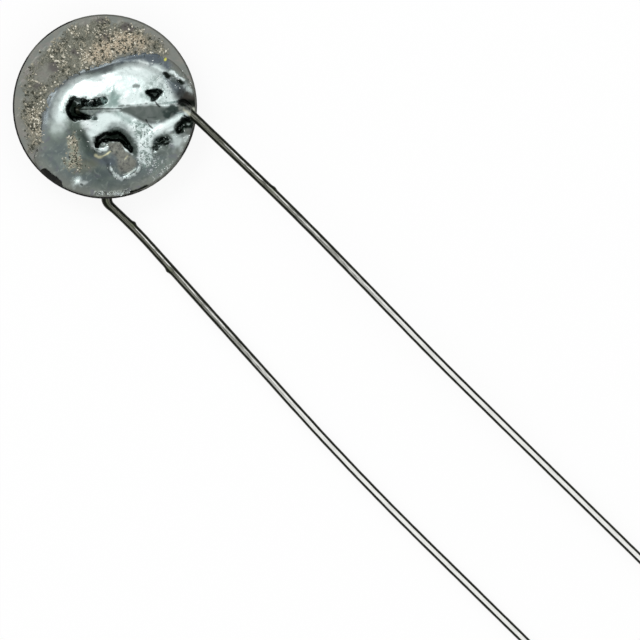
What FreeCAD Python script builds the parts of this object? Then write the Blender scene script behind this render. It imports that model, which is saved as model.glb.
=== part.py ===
"""A bare disc thermistor: a coated ceramic disc with a wire lead soldered across each face.

The disc lies level at the +Y end, front face up, and both leads run towards -Y and come down
to the floor. The part rests on its rear solder joint and on the two lead tips. The origin is
the middle of the floor under the whole part. Lengths are in millimetres, angles in degrees.
"""
import FreeCAD, Part
import math
import os

import Sketcher

# Driving sizes: name, value, what it is
SIZES = [
    ("disc_radius", 5.35, "outer radius of the ceramic disc"),
    ("disc_thick", 1.5, "thickness of the ceramic disc"),
    ("disc_edge", 0.12, "chamfer round both edges of the ceramic disc"),
    ("coat_margin", 0.13, "bare ring of ceramic between a metal coat and the rim"),
    ("coat_thick", 0.05, "thickness of the fired metal coats"),
    ("wire_radius", 0.25, "radius of both wires"),
    ("wire_seat", 0.1, "solder left between a wire and the coat under it"),
    ("film_margin", 0.06, "bare ring of coat between the tinned film and the coat's edge"),
    ("film_thick", 0.06, "thickness of the tinned film on the front coat"),
    ("flake_depth", 0.29, "how far the flaked patch reaches in from the front coat's edge"),
    ("front_pool_height", 0.7, "height of the front solder mound above its coat"),
    ("rear_pool_height", 0.85, "height of the rear solder mound above its coat"),
    ("sleeve_wall", 0.09, "solder round the wire where it runs out of a mound"),
    ("sleeve_taper", 0.8, "length over which that sleeve thins out onto the wire"),
    ("sleeve_tip", 0.02, "wall left at the thin end of the sleeve"),
    ("wire_overrun", 1.67, "how far each wire's inner end lies past the middle of the disc"),
    ("front_turn", 1.45, "turn of the front wire out of the square with the rear one"),
    ("front_offset", -0.168, "sideways place of the front wire on its face"),
    ("rear_offset", -0.16, "sideways place of the rear wire on its face"),
    ("front_elbow_inset", 1.03, "from the rim in to the start of the front elbow"),
    ("rear_elbow_inset", -0.01, "from the rim in to the start of the rear elbow"),
    ("front_bend_1", 0.75, "centreline radius of the front elbow"),
    ("front_bend_2", 175.0, "centreline radius of the front lead's first bow"),
    ("front_bend_3", 175.0, "centreline radius of the front lead's second bow"),
    ("front_heading_2", -45.28, "direction of the front lead's second straight run"),
    ("front_heading_3", -47.43, "direction of its third run"),
    ("front_heading_4", -45.96, "direction of its last run"),
    ("front_run_2", 5.31, "length of the front lead's second straight run"),
    ("front_run_3", 6.59, "length of its third run"),
    ("front_run_4", 17.61, "length of its last run"),
    ("rear_bend_1", 0.6, "centreline radius of the rear elbow"),
    ("rear_bend_2", 30.0, "centreline radius of the rear lead's second bend"),
    ("rear_bend_3", 175.0, "centreline radius of the rear lead's bow"),
    ("rear_heading_2", -46.55, "direction of the rear lead's second straight run"),
    ("rear_heading_3", -41.92, "direction of its third run"),
    ("rear_heading_4", -45.54, "direction of its last run"),
    ("rear_run_2", 0.88, "length of the rear lead's second straight run"),
    ("rear_run_3", 12.30, "length of its third run"),
    ("rear_run_4", 12.72, "length of its last run"),
    ("cavity_length", 2.3, "length of the cavity round the front wire's inner end"),
    ("cavity_overrun", 0.5, "how far the cavity reaches past that end"),
    ("cavity_width", 1.5, "width of that cavity"),
    ("cavity_floor", 0.16, "solder left under the cavity"),
    ("crater_length", 2.2, "length of the big blow-hole in the front mound"),
    ("crater_width", 1.98, "width of the blow-hole"),
    ("crater_floor", 0.2, "solder left under the blow-hole"),
    ("droplet_length", 1.16, "length of the solder droplet on the tinned film"),
    ("droplet_width", 0.87, "width of that droplet"),
    ("droplet_height", 0.2, "height of that droplet above the coat"),
]

# Each outline is a ring of places on the coat: angle from the wire's exit, share of the coat's radius
FRONT_POOL = [
    (4, 0.915), (17, 0.85), (32, 0.762), (50, 0.66), (72, 0.532), (101, 0.437), (131, 0.481),
    (157, 0.563), (180, 0.631), (199, 0.678), (213, 0.64), (227, 0.47), (246, 0.45),
    (262, 0.575), (277, 0.705), (288, 0.8), (300, 0.79), (311, 0.79), (322, 0.9), (336, 0.955),
    (350, 0.965),
]
REAR_POOL = [
    (0, 0.955), (14, 0.83), (32, 0.62), (60, 0.47), (95, 0.43), (130, 0.47), (160, 0.6),
    (182, 0.66), (205, 0.61), (235, 0.53), (268, 0.52), (300, 0.6), (325, 0.75), (345, 0.89),
]
TINNED_EDGE = [
    (19, 0.931), (30, 0.89), (39, 0.866), (47.5, 0.809), (57, 0.713), (70, 0.598), (85, 0.514),
    (109.5, 0.493), (133.5, 0.513), (154, 0.566), (172, 0.657), (191, 0.725), (206.5, 0.832),
    (213.5, 0.93),
]
TINNED_FROM, TINNED_TO = 9.0, 216.3

# The flaked patch: angle from the wire's exit, share of the patch's depth, below zero past the edge
FLAKE = [(223.5, -0.7), (225, 0.68), (229, 1), (238, 0.95), (241, 0.36), (243.5, -0.7)]

# A mound's cross-sections: share of its height, share of its outline
FRONT_DOME = [(0, 1.0), (0.45, 0.9), (0.8, 0.72), (1.0, 0.42)]
REAR_DOME = [(0, 1.0), (0.5, 0.88), (0.85, 0.66), (1.0, 0.4)]
FRONT_CROWN = (0.17, -0.05)
REAR_CROWN = (0.14, -0.08)

# Pits in the front mound: name, place as shares of the coat's radius, two half-widths, turn, floor
PITS = [
    ("diamond_pit", 0.558, 0.126, 0.46, 0.36, 20, 0.12),
    ("side_pit", 0.62, -0.415, 0.5, 0.36, 15, 0.1),
    ("rim_pit", 0.868, -0.2, 0.5, 0.42, -30, 0.08),
    ("small_pit", 0.64, 0.33, 0.24, 0.18, 30, 0.1),
]

# The cavity, blow-hole and droplet: places as shares of the coat's radius, and turns
CAVITY_ACROSS = -0.03
CRATER_PLACE, CRATER_TURN = (0.168, -0.52), -20
DROPLET_PLACE, DROPLET_TURN = (-0.252, -0.87), 10

# Straight runs of each wire
STRAIGHT_RUNS = 4

DOC = FreeCAD.newDocument("Thermistor")


def fill_sheet():
    """Writes the driving sizes to the sheet, each with its alias."""
    sheet = DOC.addObject("Spreadsheet::Sheet", "Sizes")
    for row, (name, value, words) in enumerate(SIZES, start=1):
        sheet.set(f"A{row}", name)
        sheet.set(f"B{row}", str(value))
        sheet.set(f"C{row}", words)
        sheet.setAlias(f"B{row}", name)
    DOC.recompute()
    return sheet


SHEET = fill_sheet()


def size(name):
    """One driving size, read from the sheet."""
    return float(SHEET.get(name))


def bind(thing, prop, formula):
    """Binds a property to a formula on the sheet's names, each marked with a leading dollar."""
    thing.setExpression(prop, formula.replace("$", "Sizes."))


# Levels above the floor, and the frame of each face

COAT_RADIUS = size("disc_radius") - size("coat_margin")
REAR_FACE = "$rear_pool_height + $coat_thick"
FRONT_FACE = REAR_FACE + " + $disc_thick"
WIRE_AXIS = "$coat_thick + $wire_seat + $wire_radius"
REAR_LEVEL = size("rear_pool_height") + size("coat_thick")
FRONT_LEVEL = REAR_LEVEL + size("disc_thick")
AXIS_HEIGHT = size("coat_thick") + size("wire_seat") + size("wire_radius")
ALONG, UP = FreeCAD.Vector(1, 0, 0), FreeCAD.Vector(0, 0, 1)
ACROSS_FRONT = FreeCAD.Rotation(UP, -45)
ACROSS_REAR = FreeCAD.Rotation(UP, -135) * FreeCAD.Rotation(ALONG, 180)


def walk(side):
    """Points of one wire's centreline in its own plane: (run start, run end) of each straight run."""
    heading = 0.0
    x = -size("wire_overrun")
    y = 0.0
    runs = []
    for number in range(1, STRAIGHT_RUNS + 1):
        if number == 1:
            length = size("wire_overrun") + size("disc_radius") - size(side + "_elbow_inset")
        else:
            length = size(f"{side}_run_{number}")
            radius = size(f"{side}_bend_{number - 1}")
            new_heading = size(f"{side}_heading_{number}")
            turn = new_heading - heading
            reach = 2 * radius * math.sin(math.radians(abs(turn)) / 2)
            chord = math.radians(heading + turn / 2)
            x += reach * math.cos(chord)
            y += reach * math.sin(chord)
            heading = new_heading
        end_x = x + length * math.cos(math.radians(heading))
        end_y = y + length * math.sin(math.radians(heading))
        runs.append(((x, y), (end_x, end_y), heading))
        x, y = end_x, end_y
    return runs


def tilt(side, drop):
    """Angle by which a wire's plane leans, so that its tip comes down to the floor."""
    tip = walk(side)[-1][1]
    return math.degrees(math.asin(drop / abs(tip[1])))


FRONT_TILT = tilt("front", FRONT_LEVEL + AXIS_HEIGHT - size("wire_radius"))
REAR_TILT = -tilt("rear", REAR_LEVEL - AXIS_HEIGHT - size("wire_radius"))


def face_placement(rotation, level, place_y):
    """The frame of a face: x towards the wire's exit, z out of the disc."""
    return FreeCAD.Placement(FreeCAD.Vector(0, place_y, level), rotation)


def wire_placement(side):
    """The frame of a wire inside its face's frame: x along the soldered run, at the wire's axis."""
    turn = size("front_turn") if side == "front" else 0.0
    offset = FreeCAD.Vector(0, size(side + "_offset"), AXIS_HEIGHT)
    return FreeCAD.Placement(offset, FreeCAD.Rotation(UP, turn))


def disc_place():
    """Place of the disc along Y that puts the middle of the whole part on the origin."""
    lowest = 0.0
    sides = (("front", ACROSS_FRONT, FRONT_TILT), ("rear", ACROSS_REAR, REAR_TILT))
    for side, rotation, lean in sides:
        tip_x, tip_y = walk(side)[-1][1]
        tip = FreeCAD.Vector(tip_x, tip_y * math.cos(math.radians(lean)), 0)
        lowest = min(lowest, rotation.multVec(wire_placement(side).multVec(tip)).y)
    return -(lowest + size("disc_radius")) / 2


DISC_Y = disc_place()
FRONT_FRAME = face_placement(ACROSS_FRONT, FRONT_LEVEL, DISC_Y)
REAR_FRAME = face_placement(ACROSS_REAR, REAR_LEVEL, DISC_Y)


# Sketches

def new_body(name, placement, level):
    """A body with its frame, whose height is bound to the sheet."""
    body = DOC.addObject("PartDesign::Body", name)
    body.Label = name
    body.Placement = placement
    bind(body, "Placement.Base.z", level)
    return body


def new_sketch(body, name, level="0", role="XY_Plane", offset=None):
    """A sketch on one of the body's own planes, lifted by a formula."""
    sketch = body.newObject("Sketcher::SketchObject", name)
    plane = [feature for feature in body.Origin.OriginFeatures if feature.Role == role][0]
    sketch.AttachmentSupport = [(plane, "")]
    sketch.MapMode = "FlatFace"
    sketch.AttachmentOffset = offset or FreeCAD.Placement()
    bind(sketch, "AttachmentOffset.Base.z", level)
    return sketch


def draw_circle(sketch, radius, formula):
    """A circle round the sketch's origin, with its radius bound to the sheet."""
    circle = sketch.addGeometry(Part.Circle(FreeCAD.Vector(), UP, radius))
    sketch.addConstraint(Sketcher.Constraint("Coincident", circle, 3, -1, 1))
    number = sketch.addConstraint(Sketcher.Constraint("Radius", circle, radius))
    sketch.renameConstraint(number, "radius")
    bind(sketch, "Constraints.radius", formula)


def on_coat(angle, share, radius=None):
    """A place on a face, from its angle and its share of a radius."""
    reach = share * (COAT_RADIUS if radius is None else radius)
    return FreeCAD.Vector(reach * math.cos(math.radians(angle)), reach * math.sin(math.radians(angle)), 0)


def draw_ring(sketch, ring, crown, share):
    """A smooth closed curve in four stretches: a ring of places, drawn in to the crown by a share."""
    centre = FreeCAD.Vector(crown[0] * COAT_RADIUS, crown[1] * COAT_RADIUS, 0)
    points = [centre + (on_coat(angle, reach) - centre) * share for angle, reach in ring]
    curve = Part.BSplineCurve()
    curve.interpolate(Points=points, PeriodicFlag=True)
    knots = curve.getKnots()
    ends = [knots[round(quarter * (len(knots) - 1) / 4)] for quarter in range(5)]
    for first, last in zip(ends, ends[1:]):
        stretch = curve.copy()
        stretch.segment(first, last)
        sketch.addGeometry(stretch)


def draw_polygon(sketch, points):
    """A closed outline of straight lines."""
    for start, end in zip(points, points[1:] + points[:1]):
        sketch.addGeometry(Part.LineSegment(start, end))


def pad(body, sketch, formula):
    """A pad whose length is bound to the sheet."""
    feature = body.newObject("PartDesign::Pad", sketch.Name + "_pad")
    feature.Profile = sketch
    bind(feature, "Length", formula)
    DOC.recompute()
    return feature


def cut_flake(body, level):
    """The flaked patch at the coat's edge, cut right through from the level that the formula gives."""
    before = body.Shape.Volume
    sketch = new_sketch(body, body.Name + "_flake", level)
    reaches = [(angle, COAT_RADIUS - share * size("flake_depth")) for angle, share in FLAKE]
    draw_polygon(sketch, [on_coat(angle, 1, reach) for angle, reach in reaches])
    feature = body.newObject("PartDesign::Pocket", body.Name + "_flake_pocket")
    feature.Profile = sketch
    feature.Type = "ThroughAll"
    DOC.recompute()
    if not body.Shape.Volume < before:
        raise RuntimeError(f"the flake cut nothing from {body.Name}")


# Disc and coats

def build_disc():
    """The ceramic disc, with both edges chamfered as pressed ceramic has them."""
    body = new_body("ceramic_disc", face_placement(FreeCAD.Rotation(), REAR_LEVEL, DISC_Y), REAR_FACE)
    sketch = new_sketch(body, "disc_outline")
    draw_circle(sketch, size("disc_radius"), "$disc_radius")
    blank = pad(body, sketch, "$disc_thick")
    rims = [f"Edge{i + 1}" for i, edge in enumerate(blank.Shape.Edges) if len(edge.Vertexes) == 1]
    chamfer = body.newObject("PartDesign::Chamfer", "disc_edges")
    chamfer.Base = (blank, rims)
    bind(chamfer, "Size", "$disc_edge")
    return body


def build_coat(side, frame, level):
    """A fired metal coat on one face."""
    body = new_body(side + "_electrode", frame, level)
    sketch = new_sketch(body, side + "_coat_outline")
    draw_circle(sketch, COAT_RADIUS, "$disc_radius - $coat_margin")
    pad(body, sketch, "$coat_thick")
    if side == "front":
        cut_flake(body, "$coat_thick")
    return body


# Leads

def add_run(sketch, start, end):
    """A straight run of a route."""
    return sketch.addGeometry(Part.LineSegment(FreeCAD.Vector(*start, 0), FreeCAD.Vector(*end, 0)))


def add_bend(sketch, start, end, radius, from_heading, to_heading):
    """A bend of a route, and which of its ends comes first along the route."""
    turn = 1 if to_heading > from_heading else -1
    side = math.radians(from_heading + 90 * turn)
    centre = FreeCAD.Vector(start[0] + radius * math.cos(side), start[1] + radius * math.sin(side), 0)
    first = math.radians(from_heading - 90 * turn)
    last = math.radians(to_heading - 90 * turn)
    circle = Part.Circle(centre, UP, radius)
    if turn > 0:
        return sketch.addGeometry(Part.ArcOfCircle(circle, first, last)), 1, 2
    return sketch.addGeometry(Part.ArcOfCircle(circle, last, first)), 2, 1


def name_constraint(sketch, constraint, name, formula):
    """Adds a constraint, names it and binds it to the sheet."""
    sketch.renameConstraint(sketch.addConstraint(constraint), name)
    bind(sketch, "Constraints." + name, formula)


def draw_route(sketch, side):
    """The wire's centreline: straight runs joined by tangent bends, the first run on the x axis."""
    runs = walk(side)
    last_line = add_run(sketch, runs[0][0], runs[0][1])
    length = runs[0][1][0] - runs[0][0][0]
    sketch.addConstraint(Sketcher.Constraint("Horizontal", last_line))
    sketch.addConstraint(Sketcher.Constraint("PointOnObject", last_line, 1, -1))
    name_constraint(sketch, Sketcher.Constraint("DistanceX", last_line, 1, -1, 1, size("wire_overrun")),
                    "overrun", "$wire_overrun")
    name_constraint(sketch, Sketcher.Constraint("Distance", last_line, length), "run_1",
                    f"$wire_overrun + $disc_radius - ${side}_elbow_inset")
    for number in range(2, STRAIGHT_RUNS + 1):
        start, end, heading = runs[number - 1]
        bend_from, from_heading = runs[number - 2][1:]
        radius = size(f"{side}_bend_{number - 1}")
        arc, near, far = add_bend(sketch, bend_from, start, radius, from_heading, heading)
        line = add_run(sketch, start, end)
        sketch.addConstraint(Sketcher.Constraint("Tangent", last_line, 2, arc, near))
        sketch.addConstraint(Sketcher.Constraint("Tangent", arc, far, line, 1))
        length = math.dist(start, end)
        name_constraint(sketch, Sketcher.Constraint("Radius", arc, radius), f"bend_{number - 1}",
                        f"${side}_bend_{number - 1}")
        name_constraint(sketch, Sketcher.Constraint("Distance", line, length), f"run_{number}",
                        f"${side}_run_{number}")
        name_constraint(sketch, Sketcher.Constraint("Angle", line, math.radians(heading)),
                        f"heading_{number}", f"${side}_heading_{number} * 1 deg")
        last_line = line


def build_lead(side, frame, level, lean):
    """A round wire: soldered run, elbow at the rim, and the long free run down to the floor."""
    wire_level = f"{level} + ({WIRE_AXIS})" if side == "front" else f"{level} - ({WIRE_AXIS})"
    body = new_body(side + "_lead", frame * wire_placement(side), wire_level)
    section = new_sketch(body, side + "_wire_section", "-$wire_overrun", role="YZ_Plane")
    draw_circle(section, size("wire_radius"), "$wire_radius")
    leaning = FreeCAD.Placement(FreeCAD.Vector(), FreeCAD.Rotation(ALONG, lean))
    route = new_sketch(body, side + "_wire_route", offset=leaning)
    draw_route(route, side)
    DOC.recompute()
    wire = body.newObject("PartDesign::AdditivePipe", side + "_wire")
    wire.Profile = section
    wire.Spine = (route, [f"Edge{number}" for number in range(1, 2 * STRAIGHT_RUNS)])
    DOC.recompute()
    true_volume = route.Shape.Length * math.pi * size("wire_radius") ** 2
    if abs(body.Shape.Volume / true_volume - 1) > 0.001:
        raise RuntimeError(f"{side}_lead holds {body.Shape.Volume} mm3 and not {true_volume} mm3")
    return body


# Solder joints

def add_film(body):
    """The thin tinned film that the solder left over the lower part of the front coat."""
    reach = COAT_RADIUS - size("film_margin")
    sketch = new_sketch(body, "film_outline", "$coat_thick")
    first = on_coat(TINNED_FROM, 1, reach)
    last = on_coat(TINNED_TO, 1, reach)
    edge = Part.BSplineCurve()
    edge.interpolate([first] + [on_coat(angle, share) for angle, share in TINNED_EDGE] + [last])
    sketch.addGeometry(edge)
    circle = Part.Circle(FreeCAD.Vector(), UP, reach)
    sketch.addGeometry(Part.ArcOfCircle(circle, math.radians(TINNED_TO), math.radians(TINNED_FROM + 360)))
    pad(body, sketch, "$film_thick")
    cut_flake(body, "$coat_thick + $film_thick")


def add_mound(body, side, ring, dome, crown):
    """The mound, lofted through its cross-sections from the coat to its low flat crown."""
    sections = []
    for number, (height_share, outline_share) in enumerate(dome):
        level = f"$coat_thick + ${side}_pool_height * {height_share}"
        sketch = new_sketch(body, f"{side}_section_{number}", level)
        draw_ring(sketch, ring, crown, outline_share)
        sections.append(sketch)
    DOC.recompute()
    mound = body.newObject("PartDesign::AdditiveLoft", side + "_mound")
    mound.Profile = sections[0]
    mound.Sections = sections[1:]
    DOC.recompute()


def add_sleeve(body, side):
    """The solder that hugs the wire and thins out along it, from the disc's middle to the elbow."""
    sketch = new_sketch(body, side + "_sleeve_profile", WIRE_AXIS, offset=wire_placement(side))
    elbow = size("disc_radius") - size(side + "_elbow_inset")
    wall = size("wire_radius") + size("sleeve_wall")
    tip = size("wire_radius") + size("sleeve_tip")
    shoulder = elbow - size("sleeve_taper")
    outline = [(0, 0), (0, wall), (shoulder, wall), (elbow, tip), (elbow, 0)]
    draw_polygon(sketch, [FreeCAD.Vector(x, y, 0) for x, y in outline])
    DOC.recompute()
    sleeve = body.newObject("PartDesign::Revolution", side + "_sleeve")
    sleeve.Profile = sketch
    sleeve.ReferenceAxis = (sketch, ["H_Axis"])
    sleeve.Angle = 360
    DOC.recompute()


def trim_to_coat(body, side):
    """Cuts away what a round sleeve or droplet has below the top of the coat."""
    sketch = new_sketch(body, side + "_coat_top", "$coat_thick")
    draw_circle(sketch, 2 * size("disc_radius"), "2 * $disc_radius")
    trim = body.newObject("PartDesign::Pocket", side + "_trim")
    trim.Profile = sketch
    bind(trim, "Length", "2 * $wire_radius")
    DOC.recompute()
    below = Part.makeCylinder(2 * size("disc_radius"), 1, FreeCAD.Vector(0, 0, size("coat_thick") - 1))
    below.Placement = body.Placement
    if body.Shape.common(below).Volume > 1e-6:
        raise RuntimeError(f"{body.Name} was not trimmed to the coat")


def add_bowl(body, name, kind, place, half_widths, turn, level, depth):
    """A bowl cut into the solder, or a bead added to it: half widths, turn, level and depth."""
    before = body.Shape.Volume
    bowl = body.newObject(f"PartDesign::{kind}Ellipsoid", name)
    plane = [feature for feature in body.Origin.OriginFeatures if feature.Role == "XY_Plane"][0]
    bowl.AttachmentSupport = [(plane, "")]
    bowl.MapMode = "FlatFace"
    centre = FreeCAD.Vector(place[0] * COAT_RADIUS, place[1] * COAT_RADIUS, 0)
    bowl.AttachmentOffset = FreeCAD.Placement(centre, FreeCAD.Rotation(UP, turn))
    bind(bowl, "AttachmentOffset.Base.z", level)
    bind(bowl, "Radius1", depth)
    bind(bowl, "Radius2", half_widths[0])
    bind(bowl, "Radius3", half_widths[1])
    DOC.recompute()
    if abs(body.Shape.Volume - before) < 1e-4:
        raise RuntimeError(f"{name} changed nothing")


def build_front_solder(frame, lead):
    """The front joint: film, mound, sleeve, the cavity at the wire's end, blow-hole, pits, droplet."""
    body = new_body("front_pool", frame, FRONT_FACE)
    add_film(body)
    add_mound(body, "front", FRONT_POOL, FRONT_DOME, FRONT_CROWN)
    add_sleeve(body, "front")
    top = "$coat_thick + $front_pool_height"
    cavity_from = -size("wire_overrun") - size("cavity_overrun")
    cavity_place = ((cavity_from + size("cavity_length") / 2) / COAT_RADIUS, CAVITY_ACROSS)
    add_bowl(body, "end_cavity", "Subtractive", cavity_place, ("$cavity_length / 2", "$cavity_width / 2"),
             0, top, "$front_pool_height - $cavity_floor")
    add_bowl(body, "blow_hole", "Subtractive", CRATER_PLACE, ("$crater_length / 2", "$crater_width / 2"),
             CRATER_TURN, top, "$front_pool_height - $crater_floor")
    for name, along, across, half_length, half_width, turn, floor in PITS:
        add_bowl(body, name, "Subtractive", (along, across), (str(half_length), str(half_width)), turn,
                 top, f"$front_pool_height - {floor}")
    add_bowl(body, "droplet", "Additive", DROPLET_PLACE, ("$droplet_length / 2", "$droplet_width / 2"),
             DROPLET_TURN, "$coat_thick + $film_thick", "$droplet_height - $film_thick")
    trim_to_coat(body, "front")
    return bore(body, lead, "front_solder")


def build_rear_solder(frame, lead):
    """The rear joint: a plain mound and its sleeve."""
    body = new_body("rear_pool", frame, REAR_FACE)
    add_mound(body, "rear", REAR_POOL, REAR_DOME, REAR_CROWN)
    add_sleeve(body, "rear")
    trim_to_coat(body, "rear")
    return bore(body, lead, "rear_solder")


def bore(body, lead, label):
    """The solder less the wire that lies in it."""
    joint = DOC.addObject("Part::Cut", label)
    joint.Base = body
    joint.Tool = lead
    joint.Label = label
    return joint


# Assembly and export

def check(nodes):
    """Stops if any object failed or any sub-part is not one valid solid."""
    for thing in DOC.Objects:
        if "Invalid" in thing.State or "Error" in thing.State:
            raise RuntimeError(f"{thing.Label} failed: {thing.State}")
    for node in nodes:
        shape = node.Shape
        if shape.isNull() or not shape.isValid() or len(shape.Solids) != 1:
            raise RuntimeError(f"{node.Label} is not one valid solid")
        print(f"{node.Label}: {shape.Volume:.4f} mm3, {len(shape.Faces)} faces")


def main():
    """Builds the seven pieces and writes them."""
    front_lead = build_lead("front", FRONT_FRAME, FRONT_FACE, FRONT_TILT)
    rear_lead = build_lead("rear", REAR_FRAME, REAR_FACE, REAR_TILT)
    nodes = [
        build_disc(),
        build_coat("front", FRONT_FRAME, FRONT_FACE),
        build_coat("rear", REAR_FRAME, REAR_FACE),
        front_lead,
        rear_lead,
        build_front_solder(FRONT_FRAME, front_lead),
        build_rear_solder(REAR_FRAME, rear_lead),
    ]
    DOC.recompute()
    check(nodes)
    os.makedirs("parts", exist_ok=True)
    for node in nodes:
        node.Shape.exportStep(f"parts/{node.Label}.step")


main()
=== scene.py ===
"""Dresses a bare disc thermistor: a coated ceramic disc with a wire lead soldered across each face.

Lengths in the classes are millimetres, as the part's maker would give them; everything is turned
into metres where a mesh is made. The faces are drawn in face coordinates: right and up as the
photograph shows the front face, and out of the disc.
"""
from __future__ import annotations

import logging
import math
from dataclasses import dataclass, replace
from enum import Enum
from typing import Iterable, Sequence

import bpy
import numpy as np
from mathutils import Matrix, Vector


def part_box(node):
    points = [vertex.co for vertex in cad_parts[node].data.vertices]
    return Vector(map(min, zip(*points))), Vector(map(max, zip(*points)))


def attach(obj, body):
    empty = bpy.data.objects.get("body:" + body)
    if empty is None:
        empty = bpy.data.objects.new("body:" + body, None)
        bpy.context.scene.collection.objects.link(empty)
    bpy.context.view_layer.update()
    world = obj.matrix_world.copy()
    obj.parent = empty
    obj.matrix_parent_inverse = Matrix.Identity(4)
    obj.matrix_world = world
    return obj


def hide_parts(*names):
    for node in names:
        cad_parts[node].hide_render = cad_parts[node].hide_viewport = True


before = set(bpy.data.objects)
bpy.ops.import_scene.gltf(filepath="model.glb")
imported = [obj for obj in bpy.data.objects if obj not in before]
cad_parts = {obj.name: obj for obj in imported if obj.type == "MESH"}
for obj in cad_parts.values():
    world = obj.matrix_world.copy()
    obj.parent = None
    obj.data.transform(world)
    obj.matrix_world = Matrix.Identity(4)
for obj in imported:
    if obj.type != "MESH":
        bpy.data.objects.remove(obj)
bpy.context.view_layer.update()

LOG = logging.getLogger("thermistor")
MM = 0.001
PHOTO_SIDE_PX = 640.0
DISC_CENTRE_PX = (104.8, 106.4)
DISC_WIDTH_PX = 184.24
HALF_TURN = math.pi
Outline = Sequence[tuple[float, float]]
Colour = tuple[float, float, float]
Value = float | bpy.types.NodeSocket
Tint = Colour | bpy.types.NodeSocket
Triple = tuple[float, float, float]
Marks = Sequence["Patch | Stroke"]


def srgb(red: int, green: int, blue: int) -> Colour:
    """Linear colour of a screen colour.

    Args:
        red: Red from 0 to 255.
        green: Green from 0 to 255.
        blue: Blue from 0 to 255.

    Returns:
        The linear red, green and blue.
    """
    def linear(value: int) -> float:
        """One linear channel."""
        share = value / 255
        return share / 12.92 if share <= 0.04045 else ((share + 0.055) / 1.055) ** 2.4

    return linear(red), linear(green), linear(blue)


class Side(Enum):
    """The two faces of the disc."""

    FRONT = "front"
    REAR = "rear"


@dataclass(frozen=True)
class FaceFrame:
    """Frame of one face: its middle on the ceramic, and its right, up and outward directions."""

    middle: Vector
    right: Vector
    up: Vector
    out: Vector

    @staticmethod
    def of(side: Side) -> "FaceFrame":
        """The frame of a face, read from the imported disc.

        Args:
            side: Which face.

        Returns:
            Its frame, in metres.
        """
        low, high = (Vector(corner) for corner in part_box("ceramic_disc"))
        middle = (low + high) / 2
        slant = math.sqrt(0.5)
        if side is Side.FRONT:
            return FaceFrame(Vector((middle.x, middle.y, high.z)), Vector((slant, -slant, 0)),
                             Vector((slant, slant, 0)), Vector((0, 0, 1)))
        return FaceFrame(Vector((middle.x, middle.y, low.z)), Vector((-slant, -slant, 0)),
                         Vector((-slant, slant, 0)), Vector((0, 0, -1)))

    def place(self, right: np.ndarray, up: np.ndarray, out: np.ndarray) -> np.ndarray:
        """Turns face coordinates into places in metres.

        Args:
            right: Millimetres to the right.
            up: Millimetres up.
            out: Millimetres out of the ceramic.

        Returns:
            One row of x, y and z for each point.
        """
        columns = [np.asarray(part, float).reshape(-1, 1) * MM for part in (right, up, out)]
        axes = (self.right, self.up, self.out)
        moved = sum(column * np.array(axis)[None, :] for column, axis in zip(columns, axes))
        return moved + np.array(self.middle)[None, :]


# Shapes on a face, as fields over its right and up coordinates

def rise(value: np.ndarray, low: float, high: float) -> np.ndarray:
    """A smooth step from 0 at low to 1 at high."""
    share = np.clip((value - low) / (high - low), 0.0, 1.0)
    return share * share * (3 - 2 * share)


def blend(first: np.ndarray, second: np.ndarray | float, share: np.ndarray) -> np.ndarray:
    """A mix of two fields."""
    return first * (1 - share) + second * share


def smooth_line(points: Outline, closed: bool, steps: int = 6) -> np.ndarray:
    """A curve that passes smoothly through some points.

    Args:
        points: The points, in order.
        closed: Whether the curve closes on itself.
        steps: Stretches between two points.

    Returns:
        The places along the curve, one row each.
    """
    core = np.array(points, float)
    if closed:
        ring = np.vstack([core[-1:], core, core[:2]])
    else:
        ring = np.vstack([2 * core[0] - core[1], core, 2 * core[-1] - core[-2]])
    share = np.linspace(0, 1, steps, endpoint=False)[:, None]
    runs = []
    for before, start, end, after in zip(ring, ring[1:], ring[2:], ring[3:]):
        runs.append(0.5 * (2 * start + (end - before) * share
                           + (2 * before - 5 * start + 4 * end - after) * share ** 2
                           + (3 * start - before - 3 * end + after) * share ** 3))
    line = np.vstack(runs)
    return line if closed else np.vstack([line, core[-1:]])


def line_distance(right: np.ndarray, up: np.ndarray, line: np.ndarray, closed: bool) -> np.ndarray:
    """Distance from each place to a curve given as short straight stretches."""
    ends = np.roll(line, -1, axis=0) if closed else line[1:]
    starts = line if closed else line[:-1]
    nearest = np.full(right.shape, np.inf)
    for (start_x, start_y), (end_x, end_y) in zip(starts, ends):
        run_x, run_y = end_x - start_x, end_y - start_y
        length = max(run_x ** 2 + run_y ** 2, 1e-12)
        share = np.clip(((right - start_x) * run_x + (up - start_y) * run_y) / length, 0, 1)
        gap = np.hypot(right - start_x - share * run_x, up - start_y - share * run_y)
        nearest = np.minimum(nearest, gap)
    return nearest


def depth_inside(right: np.ndarray, up: np.ndarray, outline: Outline) -> np.ndarray:
    """How far each place lies inside a smooth closed outline, negative outside it."""
    line = smooth_line(outline, closed=True)
    inside = np.zeros(right.shape, bool)
    for (start_x, start_y), (end_x, end_y) in zip(line, np.roll(line, -1, axis=0)):
        crosses = (start_y > up) != (end_y > up)
        slope = (end_x - start_x) / (end_y - start_y) if end_y != start_y else 0.0
        inside ^= crosses & (right < start_x + (up - start_y) * slope)
    distance = line_distance(right, up, line, closed=True)
    return np.where(inside, distance, -distance)


def beside(right: np.ndarray, up: np.ndarray, points: Outline) -> np.ndarray:
    """Distance from each place to a smooth open line."""
    return line_distance(right, up, smooth_line(points, closed=False), closed=False)


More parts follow.
